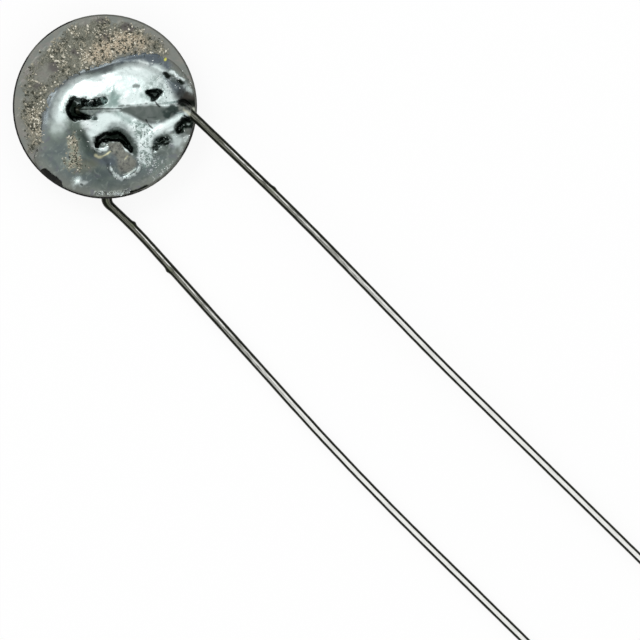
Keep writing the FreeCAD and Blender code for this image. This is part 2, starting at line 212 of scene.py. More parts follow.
def reach_to(line: np.ndarray, centre: tuple[float, float], turn: np.ndarray) -> np.ndarray:
    """Distance from a centre to a closed line round it, in each direction.

    Args:
        line: Places along the line, one row each.
        centre: Right and up of the centre.
        turn: Directions in radians.

    Returns:
        The distance in each direction.
    """
    step_x, step_y = line[:, 0] - centre[0], line[:, 1] - centre[1]
    angles = np.arctan2(step_y, step_x) % (2 * HALF_TURN)
    order = np.argsort(angles)
    return np.interp(turn, angles[order], np.hypot(step_x, step_y)[order], period=2 * HALF_TURN)


def lattice_noise(right: np.ndarray, up: np.ndarray, size: float, seed: int) -> np.ndarray:
    """Smooth random values from -1 to 1, whose lumps are about as wide as the given size."""
    table = np.random.default_rng(seed).uniform(-1, 1, (64, 64))
    x, y = right / size, up / size
    low_x, low_y = np.floor(x).astype(int), np.floor(y).astype(int)
    part_x, part_y = x - low_x, y - low_y
    part_x, part_y = part_x ** 2 * (3 - 2 * part_x), part_y ** 2 * (3 - 2 * part_y)
    near = blend(table[low_x % 64, low_y % 64], table[(low_x + 1) % 64, low_y % 64], part_x)
    far = blend(table[low_x % 64, (low_y + 1) % 64], table[(low_x + 1) % 64, (low_y + 1) % 64], part_x)
    return blend(near, far, part_y)


def rough(right: np.ndarray, up: np.ndarray, size: float, seed: int, octaves: int = 3) -> np.ndarray:
    """Noise with finer and weaker copies of itself added."""
    total = np.zeros(right.shape)
    for number in range(octaves):
        total += lattice_noise(right, up, size / 2 ** number, seed + number) / 2 ** number
    return total


# Meshes

def disc_grid(cells: int) -> tuple[np.ndarray, np.ndarray]:
    """An even square grid bent into a round one.

    Args:
        cells: Cells along one side.

    Returns:
        The share of the radius and the angle of each of its points, as square arrays.
    """
    line = np.linspace(-1, 1, cells + 1)
    across, along = np.meshgrid(line, line)
    wide = np.abs(across) >= np.abs(along)
    major = np.where(wide, across, along)
    minor = np.where(wide, along, across)
    ratio = np.divide(minor, major, out=np.zeros_like(minor), where=np.abs(major) > 1e-9)
    turn = np.where(wide, ratio, 2 - ratio) * HALF_TURN / 4
    return np.abs(major), np.where(major < 0, turn + HALF_TURN, turn) % (2 * HALF_TURN)


def make_object(name: str, corners: np.ndarray, faces: Iterable[Sequence[int]]) -> bpy.types.Object:
    """A new smooth-shaded mesh object.

    Args:
        name: The object's name.
        corners: Its places in metres, one row each.
        faces: Its faces, as numbers of places.

    Returns:
        The object, linked to the scene.
    """
    mesh = bpy.data.meshes.new(name)
    mesh.from_pydata(corners.tolist(), [], [tuple(face) for face in faces])
    mesh.validate()
    mesh.shade_smooth()
    thing = bpy.data.objects.new(name, mesh)
    bpy.context.scene.collection.objects.link(thing)
    return thing


def store(thing: bpy.types.Object, name: str, values: np.ndarray) -> None:
    """Stores one value for each place of a mesh."""
    layer = thing.data.attributes.new(name, "FLOAT", "POINT")
    layer.data.foreach_set("value", np.ascontiguousarray(values, dtype=np.float32).ravel())


@dataclass
class FacePatch:
    """A closed sheet on a face: a fine relief on top, with straight sides and a flat back."""

    face: FaceFrame
    centre: tuple[float, float]
    outline: np.ndarray
    cells: int
    back: float

    def grid(self) -> tuple[np.ndarray, np.ndarray]:
        """Right and up coordinates of the patch's grid, as square arrays."""
        share, turn = disc_grid(self.cells)
        reach = reach_to(self.outline, self.centre, turn)
        return (self.centre[0] + share * reach * np.cos(turn),
                self.centre[1] + share * reach * np.sin(turn))

    def build(self, name: str, right: np.ndarray, up: np.ndarray, out: np.ndarray) -> bpy.types.Object:
        """Makes the patch from its grid and its relief.

        Args:
            name: The piece's name.
            right: Right coordinates of the grid.
            up: Up coordinates of the grid.
            out: Height of each place above the ceramic.

        Returns:
            The piece, whose first places are those of the grid.
        """
        side = self.cells + 1
        number = np.arange(side * side).reshape(side, side)
        quads = np.stack([number[:-1, :-1], number[:-1, 1:], number[1:, 1:], number[1:, :-1]], -1)
        faces = quads.reshape(-1, 4).tolist()
        rim = np.concatenate([number[0, :-1], number[:-1, -1], number[-1, :0:-1], number[:0:-1, 0]])
        below = side * side + np.arange(len(rim))
        for here, there in zip(range(len(rim)), np.roll(range(len(rim)), -1)):
            faces.append([int(rim[here]), int(below[here]), int(below[there]), int(rim[there])])
        last = side * side + len(rim)
        for here, there in zip(range(len(rim)), np.roll(range(len(rim)), -1)):
            faces.append([int(below[there]), int(below[here]), last])
        top = self.face.place(right, up, out)
        flat_right, flat_up = right.ravel()[rim], up.ravel()[rim]
        under = self.face.place(flat_right, flat_up, np.full(len(rim), self.back))
        middle = self.face.place(np.array([self.centre[0]]), np.array([self.centre[1]]),
                                 np.array([self.back]))
        return make_object(name, np.vstack([top, under, middle]), faces)

    def pad(self, values: np.ndarray) -> np.ndarray:
        """The values of the grid, with zeros for the places of the sides and the back."""
        return np.concatenate([values.ravel(), np.zeros(4 * self.cells + 1)])


# Node trees

def opaque(tint: Tint) -> Tint | tuple[float, float, float, float]:
    """A colour with full alpha, or the socket as it is."""
    return tint if isinstance(tint, bpy.types.NodeSocket) else (*tint, 1.0)


class Sheet:
    """A short way to write a node tree."""

    def __init__(self, tree: bpy.types.NodeTree) -> None:
        """Keeps the tree and empties it."""
        self.tree = tree
        tree.nodes.clear()

    def add(self, kind: str, inputs: dict | None = None, **settings: object) -> bpy.types.Node:
        """Adds a node.

        Args:
            kind: The node's type.
            inputs: Values or sockets for its inputs, by name or number.
            settings: Properties of the node.

        Returns:
            The node.
        """
        node = self.tree.nodes.new(kind)
        for name, value in settings.items():
            setattr(node, name, value)
        for name, value in (inputs or {}).items():
            self.feed(node.inputs[name], value)
        return node

    def feed(self, socket: bpy.types.NodeSocket, value: object) -> None:
        """Links an input to a socket, or sets it to a value."""
        if isinstance(value, bpy.types.NodeSocket):
            self.tree.links.new(value, socket)
        else:
            socket.default_value = value

    def calc(self, operation: str, first: Value, second: Value = 0.0,
             third: Value = 0.0) -> bpy.types.NodeSocket:
        """A calculation on numbers or sockets."""
        return self.add("ShaderNodeMath", {0: first, 1: second, 2: third}, operation=operation).outputs[0]

    def times(self, first: Value, second: Value) -> bpy.types.NodeSocket:
        """The product of two numbers or sockets."""
        return self.calc("MULTIPLY", first, second)

    def plus(self, first: Value, second: Value) -> bpy.types.NodeSocket:
        """The sum of two numbers or sockets."""
        return self.calc("ADD", first, second)

    def rest(self, share: Value) -> bpy.types.NodeSocket:
        """What a share leaves of the whole."""
        return self.calc("SUBTRACT", 1.0, share)

    def step(self, value: Value, low: float, high: float) -> bpy.types.NodeSocket:
        """A smooth step of a value from 0 at low to 1 at high."""
        node = self.add("ShaderNodeMapRange", {"Value": value, "From Min": low, "From Max": high},
                        interpolation_type="SMOOTHSTEP")
        return node.outputs["Result"]

    def mix(self, share: Value, first: Tint, second: Tint) -> bpy.types.NodeSocket:
        """A mix of two colours."""
        node = self.add("ShaderNodeMix", {"Factor": share}, data_type="RGBA", clamp_factor=True)
        for name, tint in (("A", first), ("B", second)):
            socket = [found for found in node.inputs if found.name == name and found.type == "RGBA"][0]
            self.feed(socket, opaque(tint))
        return [found for found in node.outputs if found.type == "RGBA"][0]

    def noise(self, vector: bpy.types.NodeSocket, scale: float, detail: float = 3.0,
              roughness: float = 0.55, distortion: float = 0.0) -> bpy.types.NodeSocket:
        """A noise value round 0.5."""
        node = self.add("ShaderNodeTexNoise", {"Vector": vector, "Scale": scale, "Detail": detail,
                                               "Roughness": roughness, "Distortion": distortion})
        return node.outputs["Fac"]

    def patches(self, place: bpy.types.NodeSocket, size: float, low: float, high: float,
                warp: float) -> bpy.types.NodeSocket:
        """A mask of cloudy patches of a size, from the shared effect."""
        return self.effect(blotch_group(), {"Place": place, "Size": size, "From": low, "To": high,
                                            "Warp": warp})

    def relief(self, place: bpy.types.NodeSocket, wave_size: float, frost_size: float,
               frost: float) -> bpy.types.NodeSocket:
        """Shallow frosted waves of frozen metal, from the shared effect."""
        return self.effect(relief_group(), {"Place": place, "Wave Size": wave_size,
                                            "Frost Size": frost_size, "Frost": frost})

    def effect(self, tree: bpy.types.NodeTree, inputs: dict) -> bpy.types.NodeSocket:
        """Places a shared effect and returns its output."""
        node = self.add("ShaderNodeGroup", node_tree=tree)
        for name, value in inputs.items():
            self.feed(node.inputs[name], value)
        return node.outputs[0]

    def mark(self, name: str) -> bpy.types.NodeSocket:
        """The value that a mesh stores under a name."""
        return self.add("ShaderNodeAttribute", attribute_name=name).outputs["Fac"]

    def millimetres(self) -> bpy.types.NodeSocket:
        """Object coordinates in millimetres."""
        place = self.add("ShaderNodeTexCoord").outputs["Object"]
        return self.add("ShaderNodeMapping", {"Vector": place, "Scale": (1 / MM, 1 / MM, 1 / MM)}
                        ).outputs["Vector"]

    def finish(self, colour: Tint, roughness: Value, metallic: Value, height: bpy.types.NodeSocket,
               depth_mm: float, strength: float) -> bpy.types.Node:
        """Ends a material in a Principled surface with a bump.

        Args:
            colour: Colour or socket.
            roughness: Value or socket.
            metallic: Value or socket.
            height: Socket that gives the relief.
            depth_mm: Depth of the relief.
            strength: Strength of the bump.

        Returns:
            The Principled node.
        """
        surface = self.add("ShaderNodeBsdfPrincipled", {"Base Color": opaque(colour),
                                                        "Roughness": roughness, "Metallic": metallic})
        bump = self.add("ShaderNodeBump", {"Height": height, "Distance": depth_mm * MM,
                                           "Strength": strength})
        self.feed(surface.inputs["Normal"], bump.outputs["Normal"])
        self.add("ShaderNodeOutputMaterial", {"Surface": surface.outputs["BSDF"]})
        return surface


def material_sheet(name: str) -> tuple[bpy.types.Material, Sheet]:
    """A new material and its empty node tree."""
    material = bpy.data.materials.new(name)
    material.use_nodes = True
    return material, Sheet(material.node_tree)


def effect_sheet(name: str, inputs: dict[str, float],
                 output: str) -> tuple[Sheet, bpy.types.bpy_prop_collection]:
    """A new shared effect with one output.

    Args:
        name: The effect's name.
        inputs: Name and value of each of its inputs besides the place.
        output: Name of its output.

    Returns:
        Its empty tree and the sockets of what goes in.
    """
    tree = bpy.data.node_groups.new(name, "ShaderNodeTree")
    tree.interface.new_socket("Place", in_out="INPUT", socket_type="NodeSocketVector")
    for label, value in inputs.items():
        socket = tree.interface.new_socket(label, in_out="INPUT", socket_type="NodeSocketFloat")
        socket.default_value = value
    tree.interface.new_socket(output, in_out="OUTPUT", socket_type="NodeSocketFloat")
    sheet = Sheet(tree)
    return sheet, sheet.add("NodeGroupInput").outputs


def blotch_group() -> bpy.types.NodeTree:
    """The shared effect of cloudy patches: a mask with a named size and named limits."""
    existing = bpy.data.node_groups.get("cloudy_patches")
    if existing:
        return existing
    sheet, given = effect_sheet("cloudy_patches", {"Size": 1.0, "From": 0.4, "To": 0.6, "Warp": 0.5},
                                "Mask")
    cloud = sheet.add("ShaderNodeTexNoise", {"Vector": given["Place"], "Detail": 4.0,
                                             "Scale": sheet.calc("DIVIDE", 1.0, given["Size"]),
                                             "Distortion": given["Warp"]})
    mask = sheet.add("ShaderNodeMapRange", {"Value": cloud.outputs["Fac"], "From Min": given["From"],
                                            "From Max": given["To"]}, interpolation_type="SMOOTHSTEP")
    sheet.add("NodeGroupOutput", {"Mask": mask.outputs["Result"]})
    return sheet.tree


def relief_group() -> bpy.types.NodeTree:
    """The shared effect of frozen metal: shallow waves with a fine frosting on them."""
    existing = bpy.data.node_groups.get("frozen_relief")
    if existing:
        return existing
    sheet, given = effect_sheet("frozen_relief", {"Wave Size": 0.6, "Frost Size": 0.05, "Frost": 0.2},
                                "Height")
    waves, frost = (sheet.add("ShaderNodeTexNoise", {"Vector": given["Place"], "Detail": detail,
                                                     "Scale": sheet.calc("DIVIDE", 1.0, given[size])})
                    for size, detail in (("Wave Size", 2.0), ("Frost Size", 4.0)))
    fine = sheet.times(frost.outputs["Fac"], given["Frost"])
    sheet.add("NodeGroupOutput", {"Height": sheet.plus(waves.outputs["Fac"], fine)})
    return sheet.tree


# Finishes

@dataclass(frozen=True)
class SinteredCeramic:
    """Dark sintered oxide: nearly black, matt, with a fine pressed grain."""

    body: Colour = srgb(24, 25, 22)
    worn: Colour = srgb(58, 58, 53)
    # Paler colour laid along the top edge.
    rim_pale: Colour = srgb(116, 118, 110)
    roughness: float = 0.62
    shine: float = 0.15
    edge_level: float = 2.4
    edge_band: float = 0.2

    def build(self) -> bpy.types.Material:
        """Makes the material."""
        material, sheet = material_sheet("sintered_ceramic")
        place = sheet.millimetres()
        grain = sheet.noise(place, 26.0, 4.0, 0.7)
        worn = sheet.times(sheet.patches(place, 0.5, 0.5, 0.72, 0.5), 0.5)
        colour = sheet.mix(worn, self.body, self.worn)
        colour = sheet.mix(sheet.times(sheet.step(grain, 0.58, 0.72), 0.45), colour, self.worn)
        level = sheet.add("ShaderNodeSeparateXYZ", {"Vector": place}).outputs
        top = sheet.step(level["Z"], self.edge_level - self.edge_band, self.edge_level)
        # The top edge is painted paler in patches, more so towards +X.
        pale_rim = sheet.plus(sheet.patches(place, 2.2, 0.35, 0.65, 0.4), sheet.times(level["X"], 0.12))
        pale_rim = sheet.times(sheet.step(pale_rim, 0.35, 0.75), top)
        colour = sheet.mix(pale_rim, colour, self.rim_pale)
        surface = sheet.finish(colour, self.roughness, metallic=0.0, height=grain, depth_mm=0.03,
                               strength=0.7)
        surface.inputs["Specular IOR Level"].default_value = self.shine
        return material


@dataclass(frozen=True)
class FiredCoat:
    """Fired silver: a satin grey skin, with a brown charred crust where the solder drew back."""

    plain: Colour = srgb(129, 130, 123)
    cool: Colour = srgb(121, 126, 121)
    rosy: Colour = srgb(134, 130, 126)
    crust_dark: Colour = srgb(92, 94, 82)
    crust_olive: Colour = srgb(134, 135, 122)
    crust_warm: Colour = srgb(202, 192, 170)
    stain: Colour = srgb(84, 78, 78)

    def build(self) -> bpy.types.Material:
        """Makes the material."""
        material, sheet = material_sheet("fired_coat")
        place, crust = sheet.millimetres(), sheet.mark("crust")
        grain = sheet.noise(place, 9.0, 4.0, 0.65, 0.4)
        colour = sheet.mix(crust, self.bare_tint(sheet, place), self.crust_tint(sheet, grain))
        colour = sheet.mix(sheet.mark("dark"), colour, self.stain)
        rubble = sheet.times(sheet.times(grain, crust), 2.0)
        height = sheet.plus(sheet.relief(place, 0.5, 0.04, 0.35), rubble)
        sheet.finish(colour, roughness=sheet.plus(0.42, sheet.times(crust, 0.3)),
                     metallic=sheet.times(sheet.rest(crust), 0.7), height=height, depth_mm=0.02,
                     strength=0.5)
        return material

    def bare_tint(self, sheet: Sheet, place: bpy.types.NodeSocket) -> bpy.types.NodeSocket:
        """Colour of the bare coat: grey, cool in some places and rosy in others."""
        colour = sheet.mix(sheet.patches(place, 1.1, 0.42, 0.62, 1.0), self.plain, self.cool)
        rosy = sheet.times(sheet.patches(place, 0.8, 0.5, 0.66, 1.5), 0.7)
        colour = sheet.mix(rosy, colour, self.rosy)
        specks = sheet.times(sheet.patches(place, 0.12, 0.6, 0.72, 0.4), 0.4)
        return sheet.mix(specks, colour, self.crust_olive)

    def crust_tint(self, sheet: Sheet, grain: bpy.types.NodeSocket) -> bpy.types.NodeSocket:
        """Colour of the charred crust: olive with dark gaps, and warm where it was hottest."""
        crusty = sheet.mix(sheet.step(grain, 0.38, 0.6), self.crust_dark, self.crust_olive)
        warm = sheet.times(sheet.mark("warm"), sheet.step(grain, 0.3, 0.55))
        return sheet.mix(sheet.times(warm, 0.9), crusty, self.crust_warm)


@dataclass(frozen=True)
class FrozenSolder:
    """Tin and lead frozen after it was overheated: bright mound with painted highlight and painted shade,
    dull film, and pits with painted shadow.
    """

    # Bright tin, also laid as painted highlight where the mound catches the light.
    bright: Colour = srgb(231, 245, 243)
    glint: Colour = srgb(243, 253, 252)
    shade: Colour = srgb(140, 162, 157)
    film: Colour = srgb(112, 122, 118)
    film_cool: Colour = srgb(98, 108, 108)
    film_pale: Colour = srgb(146, 156, 150)
    # Painted shade at the mound's foot.
    meniscus_shade: Colour = srgb(122, 132, 136)
    # Dull smooth solder of the lens over the wire, darkened with painted shade.
    dull_lens_shade: Colour = srgb(94, 103, 99)
    dull_lens_shade_pale: Colour = srgb(112, 119, 116)
    # Painted shade of the mound's lower left flank, greenish grey.
    sage: Colour = srgb(116, 129, 117)
    # Painted shade in hollows and creases.
    trough_shade: Colour = srgb(46, 59, 56)
    # Painted shade, dim blue-grey.
    dusk_shade: Colour = srgb(86, 95, 102)
    ash: Colour = srgb(127, 129, 121)
    ash_dark: Colour = srgb(100, 101, 98)
    pinhole: Colour = srgb(96, 110, 108)
    mauve: Colour = srgb(112, 112, 122)
    # Painted shade in the gaps between frosted clumps.
    frost_gap_shade: Colour = srgb(116, 134, 128)
    hem: Colour = srgb(98, 98, 92)
    scorch: Colour = srgb(46, 40, 35)
    # Painted shade round and in the pits.
    pit_shade: Colour = srgb(66, 77, 72)
    # Painted shadow: black in the pits and cracks.
    pit_and_crack_shadow: Colour = srgb(11, 18, 13)
    warm: Colour = srgb(232, 229, 188)
    gold: Colour = srgb(214, 213, 92)

    def build(self) -> bpy.types.Material:
        """Makes the material."""
        material, sheet = material_sheet("frozen_solder")
        place, frosted = sheet.millimetres(), sheet.mark("frost")
        fine = sheet.noise(place, 16.0, 4.0, 0.7)
        # Painted shade at the mound's foot.
        colour = sheet.mix(sheet.mark("meniscus_shade"), self.film_tint(sheet, place), self.meniscus_shade)
        # Bright tin, with painted highlight where the mound catches the light.
        colour = sheet.mix(sheet.mark("bright"), colour, self.mound_tint(sheet, place, fine))
        colour = self.frost(sheet, place, frosted, colour)
        colour = self.stains_and_painted_light(sheet, place, colour)
        rough_ice = sheet.times(sheet.times(fine, frosted), 2.5)
        height = sheet.plus(sheet.relief(place, 0.45, 0.035, 0.25), rough_ice)
        sheet.finish(colour, roughness=sheet.plus(0.3, sheet.times(frosted, 0.2)), metallic=1.0,
                     height=height, depth_mm=0.02, strength=0.5)
        return material

    def film_tint(self, sheet: Sheet, place: bpy.types.NodeSocket) -> bpy.types.NodeSocket:
        """Colour of the dull film: cool, pale and mauve clouds, ashen towards its edge."""
        film = sheet.mix(sheet.patches(place, 1.3, 0.42, 0.6, 0.8), self.film, self.film_cool)
        pale = sheet.times(sheet.patches(place, 0.4, 0.52, 0.68, 1.2), 0.6)
        film = sheet.mix(pale, film, self.film_pale)
        film = sheet.mix(sheet.times(sheet.rest(sheet.mark("film")), 0.7), film, self.ash)
        tinge = sheet.times(sheet.patches(place, 0.5, 0.58, 0.68, 0.5), 0.6)
        return sheet.mix(tinge, film, self.mauve)

    def mound_tint(self, sheet: Sheet, place: bpy.types.NodeSocket,
                   fine: bpy.types.NodeSocket) -> bpy.types.NodeSocket:
        """Colour of the bright mound: white with dim clouds, glints and fine dust."""
        dim = sheet.times(sheet.patches(place, 0.8, 0.5, 0.78, 0.6), 0.35)
        white = sheet.mix(dim, self.bright, self.shade)
        white = sheet.mix(sheet.patches(place, 0.9, 0.52, 0.7, 0.3), white, self.glint)
        white = sheet.mix(sheet.times(sheet.step(fine, 0.62, 0.7), 0.55), white, self.film_cool)
        return sheet.mix(sheet.mark("shade"), white, self.shade)

    def frost(self, sheet: Sheet, place: bpy.types.NodeSocket, frosted: bpy.types.NodeSocket,
              colour: bpy.types.NodeSocket) -> bpy.types.NodeSocket:
        """Lays painted glints on frosted clumps, painted shade in the gaps between them, and pinholes over a
        colour.

        Args:
            sheet: The material's tree.
            place: Places in millimetres.
            frosted: Where the solder is frosted.
            colour: The colour under the frost.

        Returns:
            The colour with its frost.
        """
        clumps = sheet.noise(place, 4.8, 3.0, 0.7, 0.4)
        # Painted shade in the gaps and painted glints on the clumps.
        for low, high, tint in ((0.53, 0.42, self.frost_gap_shade), (0.55, 0.62, self.glint)):
            colour = sheet.mix(sheet.times(sheet.step(clumps, low, high), frosted), colour, tint)
        pinholes = sheet.times(sheet.step(sheet.noise(place, 8.0, 2.0), 0.68, 0.73), 0.75)
        return sheet.mix(pinholes, colour, self.pinhole)

    def stains_and_painted_light(self, sheet: Sheet, place: bpy.types.NodeSocket,
               colour: bpy.types.NodeSocket) -> bpy.types.NodeSocket:
        """Lays the marks that the mesh stores over a colour, painted shade among them, and the painted
        shadow of pits and cracks last.

        Args:
            sheet: The material's tree.
            place: Places in millimetres.
            colour: The colour under these marks.

        Returns:
            The stained colour.
        """
        mottled = sheet.patches(place, 0.9, 0.42, 0.66, 0.5)
        flecked = sheet.patches(place, 0.16, 0.48, 0.64, 0.6)
        stains_and_painted_light = (("sage", self.sage), ("dull_lens_shade", sheet.mix(mottled, self.dull_lens_shade, self.dull_lens_shade_pale)),
                  ("ash", sheet.mix(flecked, self.ash, self.ash_dark)), ("hem", self.hem),
                  ("trough_shade", self.trough_shade), ("dusk_shade", self.dusk_shade), ("warm", self.warm),
                  ("gold", self.gold), ("scorch", self.scorch), ("pit_shade", self.pit_shade))
        for name, tint in stains_and_painted_light:
            colour = sheet.mix(sheet.mark(name), colour, tint)
        # Paler specks in the black: painted reflections inside the pits.
        pit_glints = sheet.times(sheet.step(sheet.noise(place, 5.0, 4.0, 0.65), 0.5, 0.66), 0.12)
        return sheet.mix(sheet.times(sheet.mark("pit_and_crack_shadow"), sheet.rest(pit_glints)), colour, self.pit_and_crack_shadow)


@dataclass(frozen=True)
class CrustGrain:
    """Grains of charred flux and crusted tin, each with its own tint from dark olive to cream."""

    dark: Colour = srgb(70, 72, 60)
    olive: Colour = srgb(130, 131, 118)
    tan: Colour = srgb(174, 170, 152)
    cream: Colour = srgb(236, 232, 216)
    warm: Colour = srgb(238, 220, 194)

    def build(self) -> bpy.types.Material:
        """Makes the material."""
        material, sheet = material_sheet("crust_grain")
        place = sheet.millimetres()
        zone = sheet.calc("SUBTRACT", sheet.patches(place, 0.9, 0.35, 0.65, 0.6), 0.5)
        tint = sheet.plus(sheet.mark("tint"), sheet.times(zone, 0.3))
        colour = sheet.mix(sheet.step(tint, 0.1, 0.3), self.dark, self.olive)
        colour = sheet.mix(sheet.step(tint, 0.4, 0.7), colour, self.tan)
        heat = sheet.times(sheet.mark("warm"), sheet.step(tint, 0.15, 0.5))
        colour = sheet.mix(sheet.times(heat, 0.6), colour, self.warm)
        colour = sheet.mix(sheet.step(tint, 0.8, 0.95), colour, self.cream)
        grain = sheet.noise(place, 30.0, 3.0)
        colour = sheet.mix(sheet.times(sheet.step(grain, 0.55, 0.75), 0.4), colour, self.dark)
        sheet.finish(colour, roughness=0.45, metallic=0.15, height=grain, depth_mm=0.02, strength=0.6)
        return material


@dataclass(frozen=True)
class TinBead:
    """Small bright beads of frozen solder."""

    bright: Colour = srgb(240, 246, 244)
    dull: Colour = srgb(120, 130, 126)

    def build(self) -> bpy.types.Material:
        """Makes the material."""
        material, sheet = material_sheet("tin_bead")
        colour = sheet.mix(sheet.step(sheet.mark("tint"), 0.3, 0.6), self.dull, self.bright)
        grain = sheet.noise(sheet.millimetres(), 20.0)
        sheet.finish(colour, roughness=0.3, metallic=0.9, height=grain, depth_mm=0.01, strength=0.5)
        return material


@dataclass(frozen=True)
class TinnedWire:
    """Tinned copper wire: fine draw lines along it, dull near the disc with a patchy line of painted
    highlight, bright further out, and painted shade on its edges, sides and inner end.
    """

    # Bright tin; near the disc only a patchy line of painted highlight keeps it.
    bright: Colour = srgb(246, 247, 243)
    dull: Colour = srgb(114, 115, 105)
    scratch: Colour = srgb(50, 53, 44)
    # Painted shade: the dark outline along the wire's edges and at its inner end.
    outline_shade: Colour = srgb(20, 24, 13)
    # Painted shade on the wire's sides and underside.
    flank: Colour = srgb(104, 105, 96)
    grime: Colour = srgb(104, 116, 88)
    # Where the line of painted highlight runs, and how wide the core stays before the painted edge shade.
    line: float = 0.2
    core: float = 0.43

    def build(self) -> bpy.types.Material:
        """Makes the material."""
        material, sheet = material_sheet("tinned_wire")
        flank, along, crown = (sheet.mark(name) for name in ("flank", "along", "crown"))
        track = sheet.add("ShaderNodeCombineXYZ", {"X": sheet.times(flank, 5.5), "Y": along,
                                                   "Z": sheet.times(crown, 2.0)}).outputs["Vector"]
        length = sheet.add("ShaderNodeCombineXYZ", {"X": sheet.times(along, 0.35)}).outputs["Vector"]
        streak = sheet.noise(track, 1.0, 4.0, 0.65)
        patchy = sheet.noise(length, 1.0, 3.0, 0.6)
        flecks = sheet.plus(sheet.noise(track, 0.45, 2.0), sheet.step(along, 8.5, 13.0))
        # A patchy line of painted highlight near the disc.
        off_highlight = sheet.calc("ABSOLUTE", sheet.calc("SUBTRACT", flank, self.line))
        highlight_bits = sheet.times(sheet.step(off_highlight, 0.18, 0.07), sheet.step(patchy, 0.36, 0.52))
        highlight_bits = sheet.times(highlight_bits, sheet.step(flecks, 0.5, 0.62))
        near = sheet.step(sheet.plus(along, sheet.times(patchy, 14.0)), 36.0, 18.0)
        colour = sheet.mix(sheet.times(near, sheet.rest(highlight_bits)), self.bright, self.dull)
        scored = sheet.times(sheet.step(streak, 0.49, 0.55), sheet.plus(0.15, sheet.times(near, 0.7)))
        colour = sheet.mix(scored, colour, self.scratch)
        colour = sheet.mix(sheet.times(sheet.mark("grime"), 0.8), colour, self.grime)
        # Painted shade: the dark outline along both edges, wider near the inner end.
        edge = sheet.plus(sheet.calc("ABSOLUTE", flank), sheet.times(streak, 0.14))
        edge = sheet.plus(edge, sheet.times(sheet.step(along, 1.2, 0.4), 0.24))
        colour = sheet.mix(sheet.step(edge, self.core, self.core + 0.14), colour, self.outline_shade)
        # Painted shade on the sides and underside, then at the inner end.
        colour = sheet.mix(sheet.step(crown, 0.45, 0.2), colour, self.flank)
        colour = sheet.mix(sheet.times(sheet.step(along, 0.35, 0.1), 0.7), colour, self.outline_shade)
        sheet.finish(colour, roughness=0.34, metallic=0.85, height=streak, depth_mm=0.01, strength=0.5)
        return material


# Outlines on the front face, in millimetres right and up of its middle

SOLDER_EDGE: Outline = (
    (5.02, 1.35), (4.72, 1.85), (4.2, 2.42), (3.6, 2.86), (2.86, 3.12), (2.04, 3.12), (1.09, 2.93),
    (0.24, 2.68), (-0.86, 2.43), (-1.85, 1.94), (-2.66, 1.3), (-3.4, 0.49), (-3.72, -0.73),
    (-3.89, -1.95), (-4.1, -2.75), (-4.15, -3.05),
)
FAR_EDGE: Outline = ((-3.6, -4.9), (-1.0, -6.5), (4.5, -5.0), (6.5, -1.0))
CAVITY_CORE: Outline = (
    (-2.15, -0.2), (-2.02, 0.2), (-1.85, 0.38), (-1.62, 0.3), (-1.55, 0.05), (-1.3, 0.0), (-1.5, -0.15),
    (-1.45, -0.4), (-1.1, -0.55), (-1.4, -0.78), (-1.75, -0.8), (-2.0, -0.6),
)
FAR_SCORCH: Outline = ((3.9, 0.5), (4.2, 0.95), (4.6, 1.05), (4.75, 0.8), (4.3, 0.35))
CAVITY: Outline = (
    (-2.26, -0.26), (-2.13, 0.23), (-1.89, 0.56), (-1.52, 0.48), (-0.87, 0.38), (-0.38, 0.48),
    (0.07, 0.52), (0.12, 0.19), (-0.38, 0.03), (-1.03, -0.01), (-1.45, -0.1), (-1.45, -0.32),
    (-1.03, -0.46), (-0.5, -0.62), (-0.46, -0.79), (-1.03, -0.75), (-1.52, -0.83), (-1.77, -0.87),
    (-2.05, -0.67),
)
BLOW_HOLE: Outline = (
    (-0.55, -2.21), (-0.46, -1.85), (-0.14, -1.56), (0.19, -1.4), (0.6, -1.15), (1.08, -1.28),
    (1.56, -1.6), (1.92, -2.1), (1.98, -2.86), (1.7, -2.9), (1.37, -2.58), (1.12, -2.21),
    (0.88, -1.99), (0.43, -2.01), (-0.02, -1.99), (-0.3, -2.25), (-0.42, -2.38),
)
CRATER: Outline = (
    (-0.6, -2.2), (-0.4, -1.85), (0.19, -1.55), (0.6, -1.45), (1.1, -1.6), (1.5, -1.95), (1.75, -2.4),
    (2.0, -2.8), (2.05, -3.5), (1.65, -3.95), (1.0, -4.05), (0.45, -3.75), (0.2, -3.2), (-0.1, -2.75),
    (-0.5, -2.55),
)
PLATE: Outline = (
    (0.43, -2.05), (0.84, -2.05), (1.17, -2.3), (1.41, -2.66), (1.8, -3.03), (1.84, -3.44),
    (1.48, -3.72), (1.04, -3.88), (0.8, -3.55), (0.66, -3.2), (0.6, -2.9), (0.3, -2.6), (0.2, -2.3),
)
BLOW_CORE: Outline = (
    (-0.56, -2.24), (-0.46, -1.86), (-0.2, -1.64), (0.04, -1.5), (0.32, -1.55), (0.69, -1.47),
    (1.07, -1.66), (1.36, -2.0), (1.6, -2.5), (1.5, -2.68), (1.16, -2.32), (0.87, -2.03),
    (0.4, -2.03), (0.0, -2.03), (-0.28, -2.2), (-0.42, -2.38),
)
DIAMOND_PIT: Outline = (
    (2.4, 0.84), (2.67, 0.98), (3.06, 1.03), (3.42, 0.88), (3.22, 0.6), (3.03, 0.38), (2.82, 0.33),
    (2.64, 0.5),
)
SIDE_PIT: Outline = (
    (2.75, -2.66), (2.88, -2.13), (3.12, -1.81), (3.61, -1.67), (3.87, -1.89), (3.84, -2.13),
    (3.53, -2.34), (3.28, -2.3), (2.96, -2.66),
)
RIM_PIT: Outline = (
    (5.06, -0.58), (4.63, -0.62), (4.31, -0.86), (4.1, -1.15), (4.1, -1.45), (4.31, -1.61),
    (4.58, -1.5), (4.7, -1.32), (5.02, -1.2), (5.2, -1.04), (5.2, -0.76),
)
